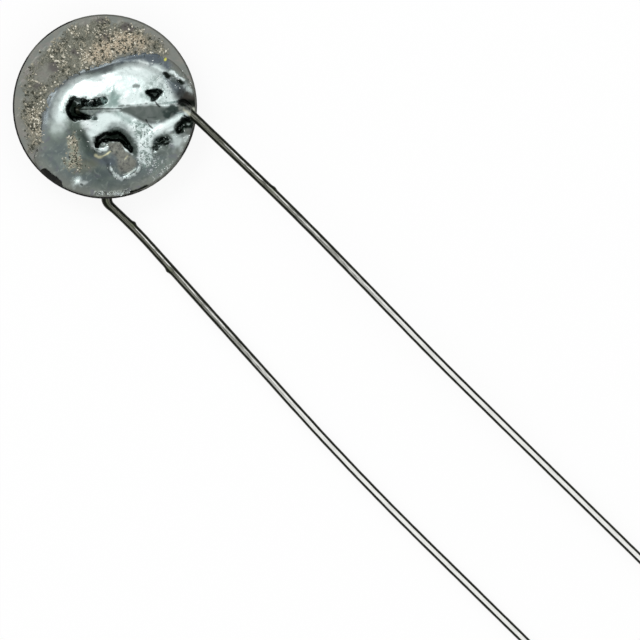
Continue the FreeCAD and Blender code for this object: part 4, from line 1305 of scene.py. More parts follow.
@dataclass
class FrontRelief:
    """Heights and stains of the front face, as fields over its right and up coordinates."""

    coat: float
    mound_height: float
    pool_radius: float = 5.22
    film: float = 0.06
    coat_radius: float = 5.26
    wire_offset: float = -0.168
    wire_slope: float = math.tan(math.radians(1.45))
    wire_level: float = 0.35
    wire_radius: float = 0.25
    crown: tuple[float, float] = (0.17, -0.05)
    flaked_level: float = -0.03
    crater_floor: float = 0.34
    exit_level: float = 0.4
    joint_back: float = -0.06
    joint_edge: float = 0.985
    joint_centre: tuple[float, float] = (0.3, -1.0)

    def joint_outline(self) -> np.ndarray:
        """The edge of the solder: the line where it drew back, then the rim of the coat."""
        reach = self.coat_radius - 0.005
        drawn = smooth_line(SOLDER_EDGE, closed=False, steps=10)
        first = math.atan2(SOLDER_EDGE[-1][1], SOLDER_EDGE[-1][0]) + 2 * HALF_TURN
        last = math.atan2(SOLDER_EDGE[0][1], SOLDER_EDGE[0][0]) + 2 * HALF_TURN
        turn = np.linspace(first, last, 200)
        rim = np.stack([np.cos(turn), np.sin(turn)], -1) * reach
        return np.vstack([drawn, rim])

    def crust_mask(self, right: np.ndarray, up: np.ndarray) -> np.ndarray:
        """Where the charred crust lies, with a ragged edge."""
        ragged = 0.2 * rough(right, up, 0.6, 11) + 0.08 * rough(right, up, 0.2, 13)
        crescent = rise(depth_inside(right, up, CRUST) + ragged, -0.25, 0.4)
        return crescent * (1 - 0.75 * Patch(BARE_SPOT, 0.3, 1.0, 0.2).mask(right, up))

    def flake_mask(self, right: np.ndarray, up: np.ndarray) -> np.ndarray:
        """Where the coat has flaked away."""
        return rise(depth_inside(right, up, FLAKE) + 0.03 * rough(right, up, 0.2, 5), -0.02, 0.02)

    def coat_height(self, right: np.ndarray, up: np.ndarray) -> np.ndarray:
        """Height of the coat with its crust above the ceramic."""
        crust = self.crust_mask(right, up)
        bumps = 0.5 + 0.5 * np.clip(rough(right, up, 0.34, 23, 4), -1, 1)
        height = self.coat + 0.004 * rough(right, up, 0.8, 31) + crust * (0.005 + 0.08 * bumps)
        return blend(height, self.flaked_level, self.flake_mask(right, up))

    def coat_fields(self, right: np.ndarray, up: np.ndarray) -> dict[str, np.ndarray]:
        """Where the coat is crusted, bears loose grains, was hot and is dark."""
        warm = np.maximum(Patch(WARM_CRUST, 0.4).mask(right, up),
                          Patch(WARM_CRUST_LOW, 0.3, 0.3).mask(right, up))
        dark = strongest(COAT_BLOTCHES, right, up)
        crust = self.crust_mask(right, up)
        sparse = rise(rough(right, up, 0.9, 121) + 0.9 * warm, -0.7, 0.5)
        loose = crust * (0.25 + 0.75 * sparse) * (1 - 0.7 * dark)
        return {"crust": crust, "loose": loose, "warm": warm, "dark": dark}

    def solder_height(self, right: np.ndarray, up: np.ndarray) -> np.ndarray:
        """Height of the solder above the ceramic.

        Args:
            right: Right coordinates in millimetres.
            up: Up coordinates in millimetres.

        Returns:
            The height of the mound, the film and the sheath, with their ridges and pits.
        """
        height = self.add_ridges(right, up, self.mound(right, up))
        height = self.cut_pits(right, up, height)
        height = self.thin_out(right, up, height)
        height = self.coat + np.minimum(self.add_sheath(right, up, height), self.mound_height + 0.04)
        return blend(height, self.flaked_level, self.flake_mask(right, up))

    def mound(self, right: np.ndarray, up: np.ndarray) -> np.ndarray:
        """Height of the wavy mound and of the film round it.

        Args:
            right: Right coordinates in millimetres.
            up: Up coordinates in millimetres.

        Returns:
            The height above the coat.
        """
        steep = Mound(FRONT_POOL, self.mound_height, self.crown, self.pool_radius)
        gentle = replace(steep, profile=GENTLE_PROFILE)
        easy = np.maximum(rise(-up, 0.2, 1.4), rise(right, 0.4, 1.7))
        hill = blend(steep.level(right, up), gentle.level(right, up), easy)
        low_left = rise(-up, 0.8, 1.9) * rise(-right, 1.1, 2.2)
        hill = hill * np.where(hill > 0, 1 - 0.6 * low_left, 1)
        waves = 0.5 * rough(right, up, 1.3, 51) + 0.25 * rough(right, up, 0.4, 53)
        film = self.film + 0.006 * rough(right, up, 0.6, 57)
        soft = 0.08 + 0.22 * rise(-up, 0.3, 1.2)
        proud = 0.5 * (hill - film + np.sqrt((hill - film) ** 2 + soft ** 2)) - 0.2 * soft
        return film + np.maximum(proud, 0) + 0.045 * rise(hill, 0.1, 0.6) * waves

    def add_ridges(self, right: np.ndarray, up: np.ndarray, height: np.ndarray) -> np.ndarray:
        """Adds the wire's ridge, the lips of the blow-hole and the web beside the wire's exit.

        Args:
            right: Right coordinates in millimetres.
            up: Up coordinates in millimetres.
            height: Height so far.

        Returns:
            The height with its ridges.
        """
        off = up - self.wire_offset - self.wire_slope * right
        along = rise(right, -0.9, 0.2) * rise(5.0 - right, 0, 0.6)
        height = np.maximum(height, along * self.mound_height * np.exp(-(off / 0.4) ** 4))
        for ridge in FRONT_RIDGES:
            height = height + ridge.height(right, up)
        return height

    def cut_pits(self, right: np.ndarray, up: np.ndarray, height: np.ndarray) -> np.ndarray:
        """Smooths the lens over the wire and cuts the crater, the cavity and the pits.

        Args:
            right: Right coordinates in millimetres.
            up: Up coordinates in millimetres.
            height: Height so far.

        Returns:
            The height with its pits.
        """
        ragged = 0.05 * rough(right, up, 0.16, 71)
        lens = rise(depth_inside(right, up, LENS), -0.12, 0.3)
        height = blend(height, self.mound_height - 0.03 - 0.2 * np.clip(0.05 - up, 0, 1), lens)
        crater = rise(depth_inside(right, up, CRATER), -0.08, 0.5)
        floor = self.crater_floor + 0.012 * rough(right, up, 0.3, 73)
        height = blend(height, np.minimum(height, floor), crater) + CRATER_LIP.height(right, up)
        height = blend(height, self.exit_level, rise(depth_inside(right, up, MAUVE_PATCH), -0.2, 0.35))
        for pit in FRONT_PITS:
            inside = rise(depth_inside(right, up, pit.outline) + ragged, -0.06, pit.wall)
            height = blend(height, np.minimum(height, pit.floor), inside)
        return height

    def thin_out(self, right: np.ndarray, up: np.ndarray, height: np.ndarray) -> np.ndarray:
        """Adds the droplet and the streak on the film, and thins the film towards its edge.

        Args:
            right: Right coordinates in millimetres.
            up: Up coordinates in millimetres.
            height: Height so far.

        Returns:
            The height, nothing past the coat's rim.
        """
        height += 0.09 * rise(0.6 - np.hypot((right + 1.4) / 1.2, up + 4.5), 0, 0.6)
        streak = rise(0.22 - beside(right, up, LOW_STREAK), 0, 0.2)
        height += 0.05 * streak * (1 + rough(right, up, 0.12, 61))
        drawn_back = depth_inside(right, up, SOLDER_EDGE + FAR_EDGE)
        height = blend(0.012, height, rise(drawn_back, 0.0, 0.2))
        return height * rise(self.coat_radius + 0.03 - np.hypot(right, up), -0.02, 0.06)

    def add_sheath(self, right: np.ndarray, up: np.ndarray, height: np.ndarray) -> np.ndarray:
        """Adds the thin sheath of solder on the wire where it leaves the joint.

        Args:
            right: Right coordinates in millimetres.
            up: Up coordinates in millimetres.
            height: Height so far.

        Returns:
            The height with the sheath.
        """
        cover = rise(self.coat_radius - 0.15 - np.hypot(right, up), 0, 0.5)
        sheath = self.wire_radius - 0.015 + 0.13 * cover + 0.012 * rough(right, up, 0.16, 63)
        off = beside(right, up, WIRE_ELBOW)
        skin = self.wire_level + np.sqrt(np.clip(sheath ** 2 - off ** 2, 0, None))
        skin = np.where(off < sheath, skin, self.wire_level * rise(sheath + 0.25 - off, 0, 0.25))
        return np.maximum(height, skin * rise(cover, 0, 0.08))

    def stains_and_painted_light(self, right: np.ndarray, up: np.ndarray) -> dict[str, np.ndarray]:
        """Strength of each stain, painted shade and painted highlight of the solder.

        Args:
            right: Right coordinates in millimetres.
            up: Up coordinates in millimetres.

        Returns:
            Values from 0 to 1, by the name that the finish reads.
        """
        fields = {name: strongest(marks, right, up) for name, marks in FRONT_STAINS_AND_PAINTED_LIGHT.items()}
        calm = 1 - np.max([fields["dull_lens_shade"], fields["pit_and_crack_shadow"], fields["ash"]], axis=0)
        fields["specks"] = Patch(ISLAND, 0.3, 1.0, 0.3).mask(right, up)
        foam = strongest(FOAM, right, up) * rise(rough(right, up, 0.16, 131), -0.1, 0.3)
        fields["pit_and_crack_shadow"] = fields["pit_and_crack_shadow"] * (1 - 0.9 * foam)
        fields["pit_shade"] = fields["pit_shade"] * (1 - 0.8 * foam)
        # Painted highlight along the plate's edge, over the grey.
        edge = PLATE_EDGE_GLINT.mask(right, up)
        fields["bright"] = np.max([fields["bright"], foam, edge], axis=0)
        fields["ash"] = fields["ash"] * (1 - edge)
        drawn_back = depth_inside(right, up, SOLDER_EDGE + FAR_EDGE)
        fields["hem"] = 0.45 * rise(drawn_back, 0.38, 0.12) * rise(up - 0.4 * right, -3.0, -2.0)
        fields["frost"] = calm * strongest(FRONT_FROST, right, up)
        beads = np.maximum(strongest(FRONT_BEADS, right, up), 0.2 * fields["frost"])
        fields["beads"] = beads * (1 - np.maximum(fields["dull_lens_shade"], fields["ash"]))
        fields["film"] = rise(depth_inside(right, up, SOLDER_EDGE + FILM_EDGE), -0.1, 0.9)
        return fields


class Geometry(Sheet):
    """A Geometry Nodes tree with named inputs, run once on a mesh."""

    def __init__(self, name: str, inputs: dict[str, tuple[str, object]]) -> None:
        """Makes the tree and its inputs.

        Args:
            name: The tree's name.
            inputs: Socket type and value of each named input.
        """
        super().__init__(bpy.data.node_groups.new(name, "GeometryNodeTree"))
        self.values = inputs
        self.tree.interface.new_socket("Geometry", in_out="INPUT", socket_type="NodeSocketGeometry")
        self.sockets = {}
        for label, (kind, _value) in inputs.items():
            self.sockets[label] = self.tree.interface.new_socket(label, in_out="INPUT", socket_type=kind)
        self.tree.interface.new_socket("Geometry", in_out="OUTPUT", socket_type="NodeSocketGeometry")
        self.given = self.tree.nodes.new("NodeGroupInput").outputs

    def socket(self, node: bpy.types.Node, name: str, output: bool = True) -> bpy.types.NodeSocket:
        """The socket of a name that a node's settings leave in use."""
        sockets = node.outputs if output else node.inputs
        return [found for found in sockets if found.enabled and found.name == name][0]

    def random(self, low: Value | Triple, high: Value | Triple, seed: int,
               kind: str = "FLOAT") -> bpy.types.NodeSocket:
        """A random value for each element.

        Args:
            low: Lowest value.
            high: Highest value.
            seed: Fixed seed.
            kind: Type of the value.

        Returns:
            The value's socket.
        """
        node = self.add("FunctionNodeRandomValue", data_type=kind)
        for name, value in (("Min", low), ("Max", high), ("Seed", seed)):
            self.feed(self.socket(node, name, output=False), value)
        return self.socket(node, "Value")

    def run(self, result: bpy.types.NodeSocket, source: bpy.types.Object, name: str) -> bpy.types.Object:
        """Ends the tree, runs it on an object and keeps the result as a plain mesh.

        Args:
            result: Geometry to realize.
            source: Object whose mesh goes in.
            name: Name of the finished piece.

        Returns:
            The finished piece.
        """
        realized = self.add("GeometryNodeRealizeInstances", {"Geometry": result})
        dressed = self.add("GeometryNodeSetMaterial", {"Geometry": realized.outputs["Geometry"],
                                                       "Material": self.given["Finish"]})
        self.add("NodeGroupOutput", {"Geometry": dressed.outputs["Geometry"]})
        modifier = source.modifiers.new(name, "NODES")
        modifier.node_group = self.tree
        for label, (_kind, value) in self.values.items():
            modifier[self.sockets[label].identifier] = value
        bpy.context.view_layer.update()
        evaluated = source.evaluated_get(bpy.context.evaluated_depsgraph_get())
        mesh = bpy.data.meshes.new_from_object(evaluated)
        source.modifiers.remove(modifier)
        mesh.name = name
        piece = bpy.data.objects.new(name, mesh)
        bpy.context.scene.collection.objects.link(piece)
        return piece


@dataclass
class Grains:
    """Loose grains grown onto a face: facetted lumps, each turned, stretched and tinted by chance."""

    name: str
    field_name: str
    per_mm2: float
    smallest: float
    largest: float
    seed: int
    least_stretch: Triple = (0.8, 0.6, 0.5)
    most_stretch: Triple = (1.8, 1.1, 0.8)

    def build(self, ground: bpy.types.Object, finish: bpy.types.Material) -> bpy.types.Object:
        """Scatters the grains over a piece where its field is strong.

        Args:
            ground: The piece that bears the grains.
            finish: The grains' material.

        Returns:
            All the grains, as one piece.
        """
        tree = Geometry(self.name + "_scatter", {
            "Density": ("NodeSocketFloat", self.per_mm2 / MM ** 2),
            "Smallest": ("NodeSocketFloat", self.smallest * MM),
            "Largest": ("NodeSocketFloat", self.largest * MM),
            "Finish": ("NodeSocketMaterial", finish),
        })
        strength = tree.add("GeometryNodeInputNamedAttribute", {"Name": self.field_name}, data_type="FLOAT")
        field_value = tree.socket(strength, "Attribute")
        thick = tree.calc("MULTIPLY", tree.given["Density"], field_value)
        spots = tree.add("GeometryNodeDistributePointsOnFaces",
                         {"Mesh": tree.given["Geometry"], "Density": thick, "Seed": self.seed})
        lump = tree.add("GeometryNodeMeshIcoSphere", {"Radius": 1.0, "Subdivisions": 1})
        size = tree.random(tree.given["Smallest"], tree.given["Largest"], self.seed + 1)
        stretch = tree.random(self.least_stretch, self.most_stretch, self.seed + 2, "FLOAT_VECTOR")
        scale = tree.add("ShaderNodeVectorMath", {0: stretch}, operation="SCALE")
        tree.tree.links.new(size, scale.inputs["Scale"])
        turn = tree.random((-HALF_TURN,) * 3, (HALF_TURN,) * 3, self.seed + 3, "FLOAT_VECTOR")
        grains = tree.add("GeometryNodeInstanceOnPoints",
                          {"Points": spots.outputs["Points"], "Instance": lump.outputs["Mesh"],
                           "Scale": scale.outputs["Vector"]})
        rotation = tree.add("FunctionNodeEulerToRotation", {0: turn})
        tree.tree.links.new(rotation.outputs[0], grains.inputs["Rotation"])
        tinted = tree.add("GeometryNodeStoreNamedAttribute",
                          {"Geometry": grains.outputs["Instances"], "Name": "tint"},
                          data_type="FLOAT", domain="INSTANCE")
        tree.tree.links.new(tree.random(0.0, 1.0, self.seed + 4), tree.socket(tinted, "Value", output=False))
        return tree.run(tinted.outputs["Geometry"], ground, self.name)


@dataclass(frozen=True)
class Burr:
    """A lump on a wire: its place along the wire, the side it stands on, its length and its height."""

    along: float
    side: float
    length: float
    height: float


@dataclass
class Lead:
    """A round tinned wire: a soldered run, an elbow at the rim and a long free run to the floor."""

    side: Side
    offset: float
    turn: float
    elbow_inset: float
    bends: tuple[float, ...]
    headings: tuple[float, ...]
    runs: tuple[float, ...]
    drop: float
    burrs: tuple[Burr, ...] = ()
    radius: float = 0.25
    overrun: float = 1.67
    disc_radius: float = 5.35
    axis_height: float = 0.4
    sides: int = 24
    ring_step: float = 0.08

    def route(self) -> np.ndarray:
        """The wire's centreline in its own plane, one row each."""
        heading, place = 0.0, np.array([-self.overrun, 0.0])
        points = [place]
        lengths = (self.overrun + self.disc_radius - self.elbow_inset, *self.runs)
        for number, length in enumerate(lengths):
            if number:
                radius, goal = self.bends[number - 1], self.headings[number - 1]
                steps = max(4, int(abs(goal - heading) / 3))
                step = (goal - heading) / steps
                chord = 2 * radius * math.sin(math.radians(abs(step)) / 2)
                for _step in range(steps):
                    middle = math.radians(heading + step / 2)
                    place = place + chord * np.array([math.cos(middle), math.sin(middle)])
                    heading += step
                    points.append(place)
            ahead = np.array([math.cos(math.radians(heading)), math.sin(math.radians(heading))])
            place = place + length * ahead
            points.append(place)
        return np.array(points)

    def centreline(self, face: FaceFrame) -> np.ndarray:
        """The wire's centreline in metres."""
        flat = self.route()
        lean = math.asin(self.drop / abs(flat[-1, 1]))
        across, out = flat[:, 1] * math.cos(lean), self.axis_height + flat[:, 1] * math.sin(lean)
        turn = math.radians(self.turn)
        right = flat[:, 0] * math.cos(turn) - across * math.sin(turn)
        up = self.offset + flat[:, 0] * math.sin(turn) + across * math.cos(turn)
        return face.place(right, up, out)

    def build(self, face: FaceFrame, finish: bpy.types.Material) -> bpy.types.Object:
        """Makes the wire along its route and stores the marks that its finish reads.

        Args:
            face: The face that the wire is soldered to.
            finish: The wire's material.

        Returns:
            The wire.
        """
        places = self.centreline(face)
        guide = make_object(self.side.value + "_route", places, [])
        guide.data.edges.add(len(places) - 1)
        guide.data.edges.foreach_set("vertices", np.stack(
            [np.arange(len(places) - 1), np.arange(1, len(places))], -1).ravel())
        guide.data.update()
        tree = Geometry(self.side.value + "_wire", {
            "Radius": ("NodeSocketFloat", self.radius * MM),
            "Step": ("NodeSocketFloat", self.ring_step * MM),
            "Finish": ("NodeSocketMaterial", finish),
        })
        path = tree.add("GeometryNodeMeshToCurve", {"Mesh": tree.given["Geometry"]})
        even = tree.add("GeometryNodeResampleCurve", {"Curve": path.outputs["Curve"]})
        even.mode = "LENGTH"
        tree.tree.links.new(tree.given["Step"], even.inputs["Length"])
        flat = tree.add("GeometryNodeSetCurveNormal", {"Curve": even.outputs["Curve"]}, mode="Z_UP")
        ring = tree.add("GeometryNodeCurvePrimitiveCircle",
                        {"Resolution": self.sides, "Radius": tree.given["Radius"]})
        tube = tree.add("GeometryNodeCurveToMesh",
                        {"Curve": flat.outputs["Curve"], "Profile Curve": ring.outputs["Curve"],
                         "Fill Caps": True})
        piece = tree.run(tube.outputs["Mesh"], guide, self.side.value + "_wire_lead")
        bpy.data.objects.remove(guide)
        self.mark(piece)
        return piece

    def mark(self, piece: bpy.types.Object) -> None:
        """Raises the burrs and stores where each place lies along and round the wire.

        Args:
            piece: The bare wire, made ring by ring.
        """
        count = len(piece.data.vertices)
        corners = np.empty(count * 3)
        piece.data.vertices.foreach_get("co", corners)
        rings = corners.reshape(-1, self.sides, 3)
        middles = rings.mean(axis=1, keepdims=True)
        radial = rings - middles
        radial /= np.linalg.norm(radial, axis=2, keepdims=True)
        steps = np.linalg.norm(np.diff(middles[:, 0], axis=0), axis=1)
        along = np.concatenate([[0], np.cumsum(steps)]) / MM
        ahead = np.gradient(middles[:, 0], axis=0)
        ahead /= np.linalg.norm(ahead, axis=1, keepdims=True)
        left = np.cross(np.array([0.0, 0.0, 1.0]), ahead)[:, None, :]
        flank = (radial * left).sum(axis=2)
        crown = radial[:, :, 2]
        lift = 0.004 * rough(along[:, None] + 0 * flank, 0.6 * flank, 0.5, 91)
        grime = np.zeros(flank.shape)
        for burr in self.burrs:
            near = np.exp(-((along[:, None] - burr.along) / burr.length) ** 2)
            grime = np.maximum(grime, near * np.clip(0.35 + flank * burr.side, 0, 1))
            lift = lift + burr.height * near * np.clip(flank * burr.side, 0, 1) ** 1.5
        lift = np.where(crown < -0.6, np.minimum(lift, 0), lift)
        rings = rings + radial * lift[:, :, None] * MM
        piece.data.vertices.foreach_set("co", rings.ravel())
        piece.data.update()
        store(piece, "along", np.repeat(along, self.sides))
        store(piece, "flank", flank)
        store(piece, "crown", crown)
        store(piece, "grime", grime)


FRONT_LEAD = Lead(
    Side.FRONT, offset=-0.168, turn=1.45, elbow_inset=1.03, bends=(0.75, 175.0, 175.0),
    headings=(-45.28, -47.43, -45.96), runs=(5.31, 6.59, 17.61), drop=2.55,
    burrs=(Burr(along=13.29, side=1.0, length=0.16, height=0.05),))
REAR_LEAD = Lead(
    Side.REAR, offset=-0.16, turn=0.0, elbow_inset=-0.01, bends=(0.6, 30.0, 175.0),
    headings=(-46.55, -41.92, -45.54), runs=(0.88, 12.30, 12.72), drop=-0.25,
    burrs=(Burr(along=7.0, side=-1.0, length=0.4, height=0.14),
           Burr(along=9.15, side=1.0, length=0.13, height=0.08),
           Burr(along=12.5, side=-1.0, length=0.16, height=0.07)))


@dataclass
class RearRelief:
    """Heights and stains of the rear face, which is plainer: a mound on a clean coat."""

    coat: float
    mound_height: float
    coat_radius: float = 5.22
    crown: tuple[float, float] = (0.14, -0.08)
    wire_offset: float = -0.16
    warmth: float = 0.3
    joint_back: float = -0.02
    joint_edge: float = 0.98

    @property
    def mound(self) -> Mound:
        """The plain mound."""
        return Mound(REAR_POOL, self.mound_height, self.crown, self.coat_radius, REAR_PROFILE)

    @property
    def joint_centre(self) -> tuple[float, float]:
        """Right and up of the joint's middle."""
        return self.mound.centre()

    def joint_outline(self) -> np.ndarray:
        """The edge of the solder."""
        return self.mound.foot(10)

    def crust_mask(self, right: np.ndarray, up: np.ndarray) -> np.ndarray:
        """A thin ring of charred flux round the mound's foot."""
        hill = self.mound.level(right, up) + 0.06 * rough(right, up, 0.5, 101)
        patchy = 0.4 + 0.6 * rise(rough(right, up, 1.2, 103), -0.3, 0.4)
        return rise(hill, -0.3, -0.08) * rise(-hill, -0.3, 0.0) * patchy

    def coat_height(self, right: np.ndarray, up: np.ndarray) -> np.ndarray:
        """Height of the coat above the ceramic."""
        bumps = 0.5 + 0.5 * np.clip(rough(right, up, 0.34, 105, 4), -1, 1)
        return self.coat + 0.004 * rough(right, up, 0.8, 107) + self.crust_mask(right, up) * 0.06 * bumps

    def coat_fields(self, right: np.ndarray, up: np.ndarray) -> dict[str, np.ndarray]:
        """Where the coat is crusted, how warm its crust is, and that it is dark nowhere."""
        return {"crust": self.crust_mask(right, up), "warm": np.full(right.shape, self.warmth),
                "dark": np.zeros(right.shape)}

    def solder_height(self, right: np.ndarray, up: np.ndarray) -> np.ndarray:
        """Height of the solder above the ceramic, no higher than the floor allows."""
        hill = self.mound.level(right, up)
        waves = 0.5 * rough(right, up, 1.3, 109) + 0.25 * rough(right, up, 0.4, 111)
        height = np.maximum(hill, 0) + 0.05 * rise(hill, 0.05, 0.5) * waves
        ridge = rise(right, -1.5, -0.6) * np.exp(-((up - self.wire_offset) / 0.4) ** 4)
        height = np.maximum(height, ridge * (self.mound_height - 0.12))
        return self.coat + np.minimum(height, self.mound_height)

    def stains_and_painted_light(self, right: np.ndarray, up: np.ndarray) -> dict[str, np.ndarray]:
        """Strength of each stain, painted shade and painted highlight of the solder.

        Args:
            right: Right coordinates in millimetres.
            up: Up coordinates in millimetres.

        Returns:
            Values from 0 to 1, by the name that the finish reads; most marks are missing here.
        """
        hill = self.mound.level(right, up) + 0.05 * rough(right, up, 0.5, 115)
        fields = {name: np.zeros(right.shape) for name in FRONT_STAINS_AND_PAINTED_LIGHT}
        fields["hem"] = np.zeros(right.shape)
        fields["film"] = np.ones(right.shape)
        # Painted highlight on the mound's top.
        fields["bright"] = rise(hill, 0.1, 0.45)
        # Painted shade round the mound's foot.
        fields["meniscus_shade"] = rise(-hill, -0.4, -0.1)
        fields["shade"] = 0.5 * rise(rough(right, up, 1.0, 119), 0.2, 0.9)
        fields["frost"] = 0.8 * rise(rough(right, up, 1.4, 121), 0.1, 0.8)
        fields["warm"] = 0.3 * rise(-hill, -0.12, 0.0)
        return fields


@dataclass
class DressedFace:
    """The coat and the solder joint of one face, with the values that their finishes read."""

    name: str
    relief: FrontRelief | RearRelief
    face: FaceFrame
    cells: int
    coat_back: float = -0.06
    tuck: float = 0.01

    def build_coat(self, finish: bpy.types.Material) -> bpy.types.Object:
        """Makes the coat of one face."""
        turn = np.linspace(0, 2 * HALF_TURN, 360, endpoint=False)
        ring = np.stack([np.cos(turn), np.sin(turn)], -1) * self.relief.coat_radius
        patch = FacePatch(self.face, (0.0, 0.0), ring, self.cells, self.coat_back)
        right, up = patch.grid()
        coat = patch.build(self.name + "_coat", right, up, self.relief.coat_height(right, up))
        return self.finished(coat, patch, self.relief.coat_fields(right, up), finish)

    def build_joint(self, finish: bpy.types.Material) -> bpy.types.Object:
        """Makes the solder joint of one face, whose edge is tucked into the coat."""
        relief = self.relief
        patch = FacePatch(self.face, relief.joint_centre, relief.joint_outline(), self.cells,
                          relief.joint_back)
        right, up = patch.grid()
        height = relief.solder_height(right, up)
        edge = rise(disc_grid(self.cells)[0], relief.joint_edge, 1.0)
        height = blend(height, np.minimum(height, relief.coat - self.tuck), edge)
        joint = patch.build(self.name + "_joint", right, up, height)
        return self.finished(joint, patch, relief.stains_and_painted_light(right, up), finish)

    def finished(self, piece: bpy.types.Object, patch: FacePatch, fields: dict[str, np.ndarray],
                 finish: bpy.types.Material) -> bpy.types.Object:
        """Stores the fields on a piece and gives it its finish.

        Args:
            piece: The coat or the joint.
            patch: The patch that it was made from.
            fields: One value for each place of the patch's grid, by name.
            finish: The piece's material.

        Returns:
            The piece.
        """
        for name, values in fields.items():
            store(piece, name, patch.pad(values))
        piece.data.materials.append(finish)
        return piece


@dataclass
class Studio:
    """Plain pale floor, soft overhead light and the camera of the photograph."""

    lens_mm: float = 900.0
    sensor_mm: float = 36.0
    nearest: float = 0.01
    farthest: float = 10.0
    floor_reach: float = 2.0
    floor_grey: float = 0.9
    floor_glow: float = 1.02
    glow_share: float = 0.86
    sky: Outline = ((0.0, 0.9), (0.08, 0.7), (0.2, 0.45), (0.42, 0.5), (0.6, 0.76), (0.76, 1.0),
                    (1.0, 0.93))
    lamp_watts: float = 0.22
    lamp_size: float = 0.12
    lamp_place: Triple = (0.02, 0.2, 0.3)

    def build(self, face: FaceFrame) -> None:
        """Makes the floor, the world, the lamp and the camera."""
        self.add_floor()
        self.add_world()
        self.add_lamp()
        self.add_camera(face)

    def add_floor(self) -> None:
        """A wide pale floor that reads as white and keeps a soft shadow."""
        corners = np.array([(-1, -1, 0), (1, -1, 0), (1, 1, 0), (-1, 1, 0)], float)
        floor = make_object("floor", corners * self.floor_reach, [(0, 1, 2, 3)])
        material, sheet = material_sheet("pale_floor")
        ray = sheet.add("ShaderNodeLightPath")
        seen = sheet.calc("MAXIMUM", ray.outputs["Is Camera Ray"], ray.outputs["Is Glossy Ray"])
        seen = sheet.calc("MAXIMUM", seen, ray.outputs["Is Transmission Ray"])
        plain = sheet.add("ShaderNodeBsdfDiffuse", {"Color": opaque((self.floor_grey,) * 3)})
        light = sheet.add("ShaderNodeEmission", {"Color": (1, 1, 1, 1), "Strength": self.floor_glow})
        mixed = sheet.add("ShaderNodeMixShader", {0: sheet.times(seen, self.glow_share),
                                                  1: plain.outputs[0], 2: light.outputs[0]})
        sheet.add("ShaderNodeOutputMaterial", {"Surface": mixed.outputs[0]})
        floor.data.materials.append(material)

    def add_world(self) -> None:
        """A bright sky overhead that dims towards the walls, with a white horizon."""
        world = bpy.data.worlds.new("soft_studio")
        world.use_nodes = True
        sheet = Sheet(world.node_tree)
        direction = sheet.add("ShaderNodeTexCoord").outputs["Generated"]
        height = sheet.add("ShaderNodeSeparateXYZ", {"Vector": direction}).outputs["Z"]
        ramp = sheet.add("ShaderNodeValToRGB", {"Fac": height})
        elements = ramp.color_ramp.elements
        while len(elements) < len(self.sky):
            elements.new(0.5)
        for element, (position, level) in zip(elements, self.sky):
            element.position = position
            element.color = opaque((level,) * 3)
        light = sheet.add("ShaderNodeBackground", {"Color": ramp.outputs["Color"], "Strength": 1.0})
        sheet.add("ShaderNodeOutputWorld", {"Surface": light.outputs[0]})
        bpy.context.scene.world = world

    def add_lamp(self) -> None:
        """A soft lamp high on the upper side of the photograph."""
        lamp = bpy.data.lights.new("soft_lamp", "AREA")
        lamp.energy = self.lamp_watts
        lamp.size = self.lamp_size
        thing = bpy.data.objects.new("soft_lamp", lamp)
        thing.location = self.lamp_place
        thing.rotation_euler = (-thing.location).to_track_quat("-Z", "Y").to_euler()
        bpy.context.scene.collection.objects.link(thing)

    def add_camera(self, face: FaceFrame) -> None:
        """The camera: straight down, with the leads running to the lower right of the picture.

        Args:
            face: The face that it looks at, with the photograph's right and up.
        """
        radius = (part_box("ceramic_disc")[1][0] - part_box("ceramic_disc")[0][0]) / 2
        pixel = 2 * radius / DISC_WIDTH_PX
        middle = PHOTO_SIDE_PX / 2
        aim = (face.middle + face.right * (middle - DISC_CENTRE_PX[0]) * pixel
               - face.up * (middle - DISC_CENTRE_PX[1]) * pixel)
        distance = PHOTO_SIDE_PX * pixel * self.lens_mm / self.sensor_mm
        camera = bpy.data.cameras.new("camera")
        camera.lens = self.lens_mm
        camera.sensor_width = self.sensor_mm
        camera.clip_start = self.nearest
        camera.clip_end = self.farthest
        thing = bpy.data.objects.new("camera", camera)
        turn = Matrix((face.right, face.up, face.out)).transposed().to_4x4()
        thing.matrix_world = Matrix.Translation(aim + face.out * distance) @ turn
        bpy.context.scene.collection.objects.link(thing)
        bpy.context.scene.camera = thing


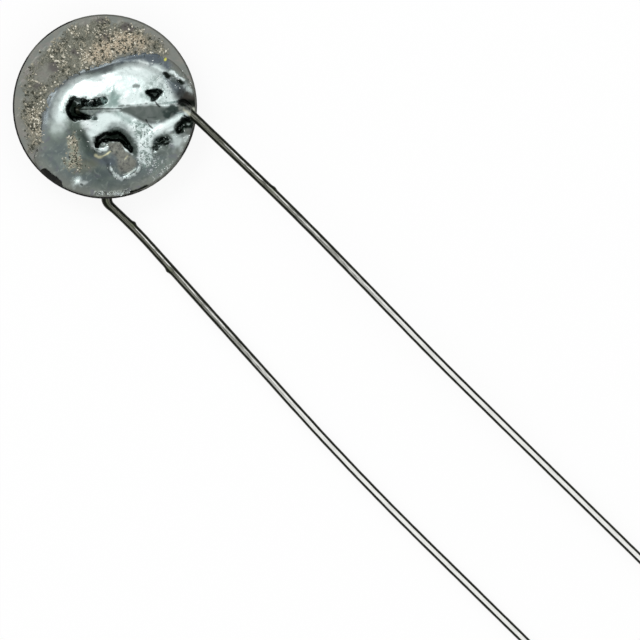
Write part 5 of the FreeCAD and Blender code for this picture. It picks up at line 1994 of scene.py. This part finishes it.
def dress_cad(node: str, finish: bpy.types.Material) -> None:
    """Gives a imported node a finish."""
    thing = bpy.data.objects[node]
    thing.data.materials.clear()
    thing.data.materials.append(finish)


def put(piece: bpy.types.Object, slot: str, *nodes: str) -> None:
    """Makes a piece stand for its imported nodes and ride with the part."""
    if nodes:
        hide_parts(*nodes)
    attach(piece, "root")
    LOG.info("%s: %d faces", piece.name, len(piece.data.polygons))


def main() -> None:
    """Builds every piece and the studio."""
    logging.basicConfig(level=logging.INFO, format="%(name)s: %(message)s")
    bpy.context.scene.view_settings.view_transform = "Standard"
    front, rear = FaceFrame.of(Side.FRONT), FaceFrame.of(Side.REAR)
    heights = {node: (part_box(node)[1][2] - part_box(node)[0][2]) / MM
               for node in ("front_electrode", "front_solder", "rear_electrode", "rear_solder")}
    above = DressedFace("front", FrontRelief(heights["front_electrode"], heights["front_solder"]),
                        front, cells=300)
    behind = DressedFace("rear", RearRelief(heights["rear_electrode"], heights["rear_solder"]),
                         rear, cells=160)
    coat, solder = FiredCoat().build(), FrozenSolder().build()
    wire, grain, bead = TinnedWire().build(), CrustGrain().build(), TinBead().build()
    dress_cad("ceramic_disc", SinteredCeramic().build())
    front_coat, front_joint = above.build_coat(coat), above.build_joint(solder)
    crust = Grains("crust_grains", "loose", per_mm2=130.0, smallest=0.035, largest=0.105,
                   seed=5).build(front_coat, grain)
    specks = Grains("film_grains", "specks", per_mm2=200.0, smallest=0.03, largest=0.08,
                    seed=17).build(front_joint, grain)
    beads = Grains("tin_beads", "beads", per_mm2=60.0, smallest=0.025, largest=0.06,
                   seed=31).build(front_joint, bead)
    put(front_coat, "metal_coat", "front_electrode")
    put(front_joint, "solder", "front_solder")
    put(crust, "solder")
    put(specks, "solder")
    put(beads, "solder")
    put(behind.build_coat(coat), "metal_coat", "rear_electrode")
    put(behind.build_joint(solder), "solder", "rear_solder")
    put(FRONT_LEAD.build(front, wire), "tinned_wire", "front_lead")
    put(REAR_LEAD.build(rear, wire), "tinned_wire", "rear_lead")
    Studio().build(front)


if __name__ == "__main__":
    main()
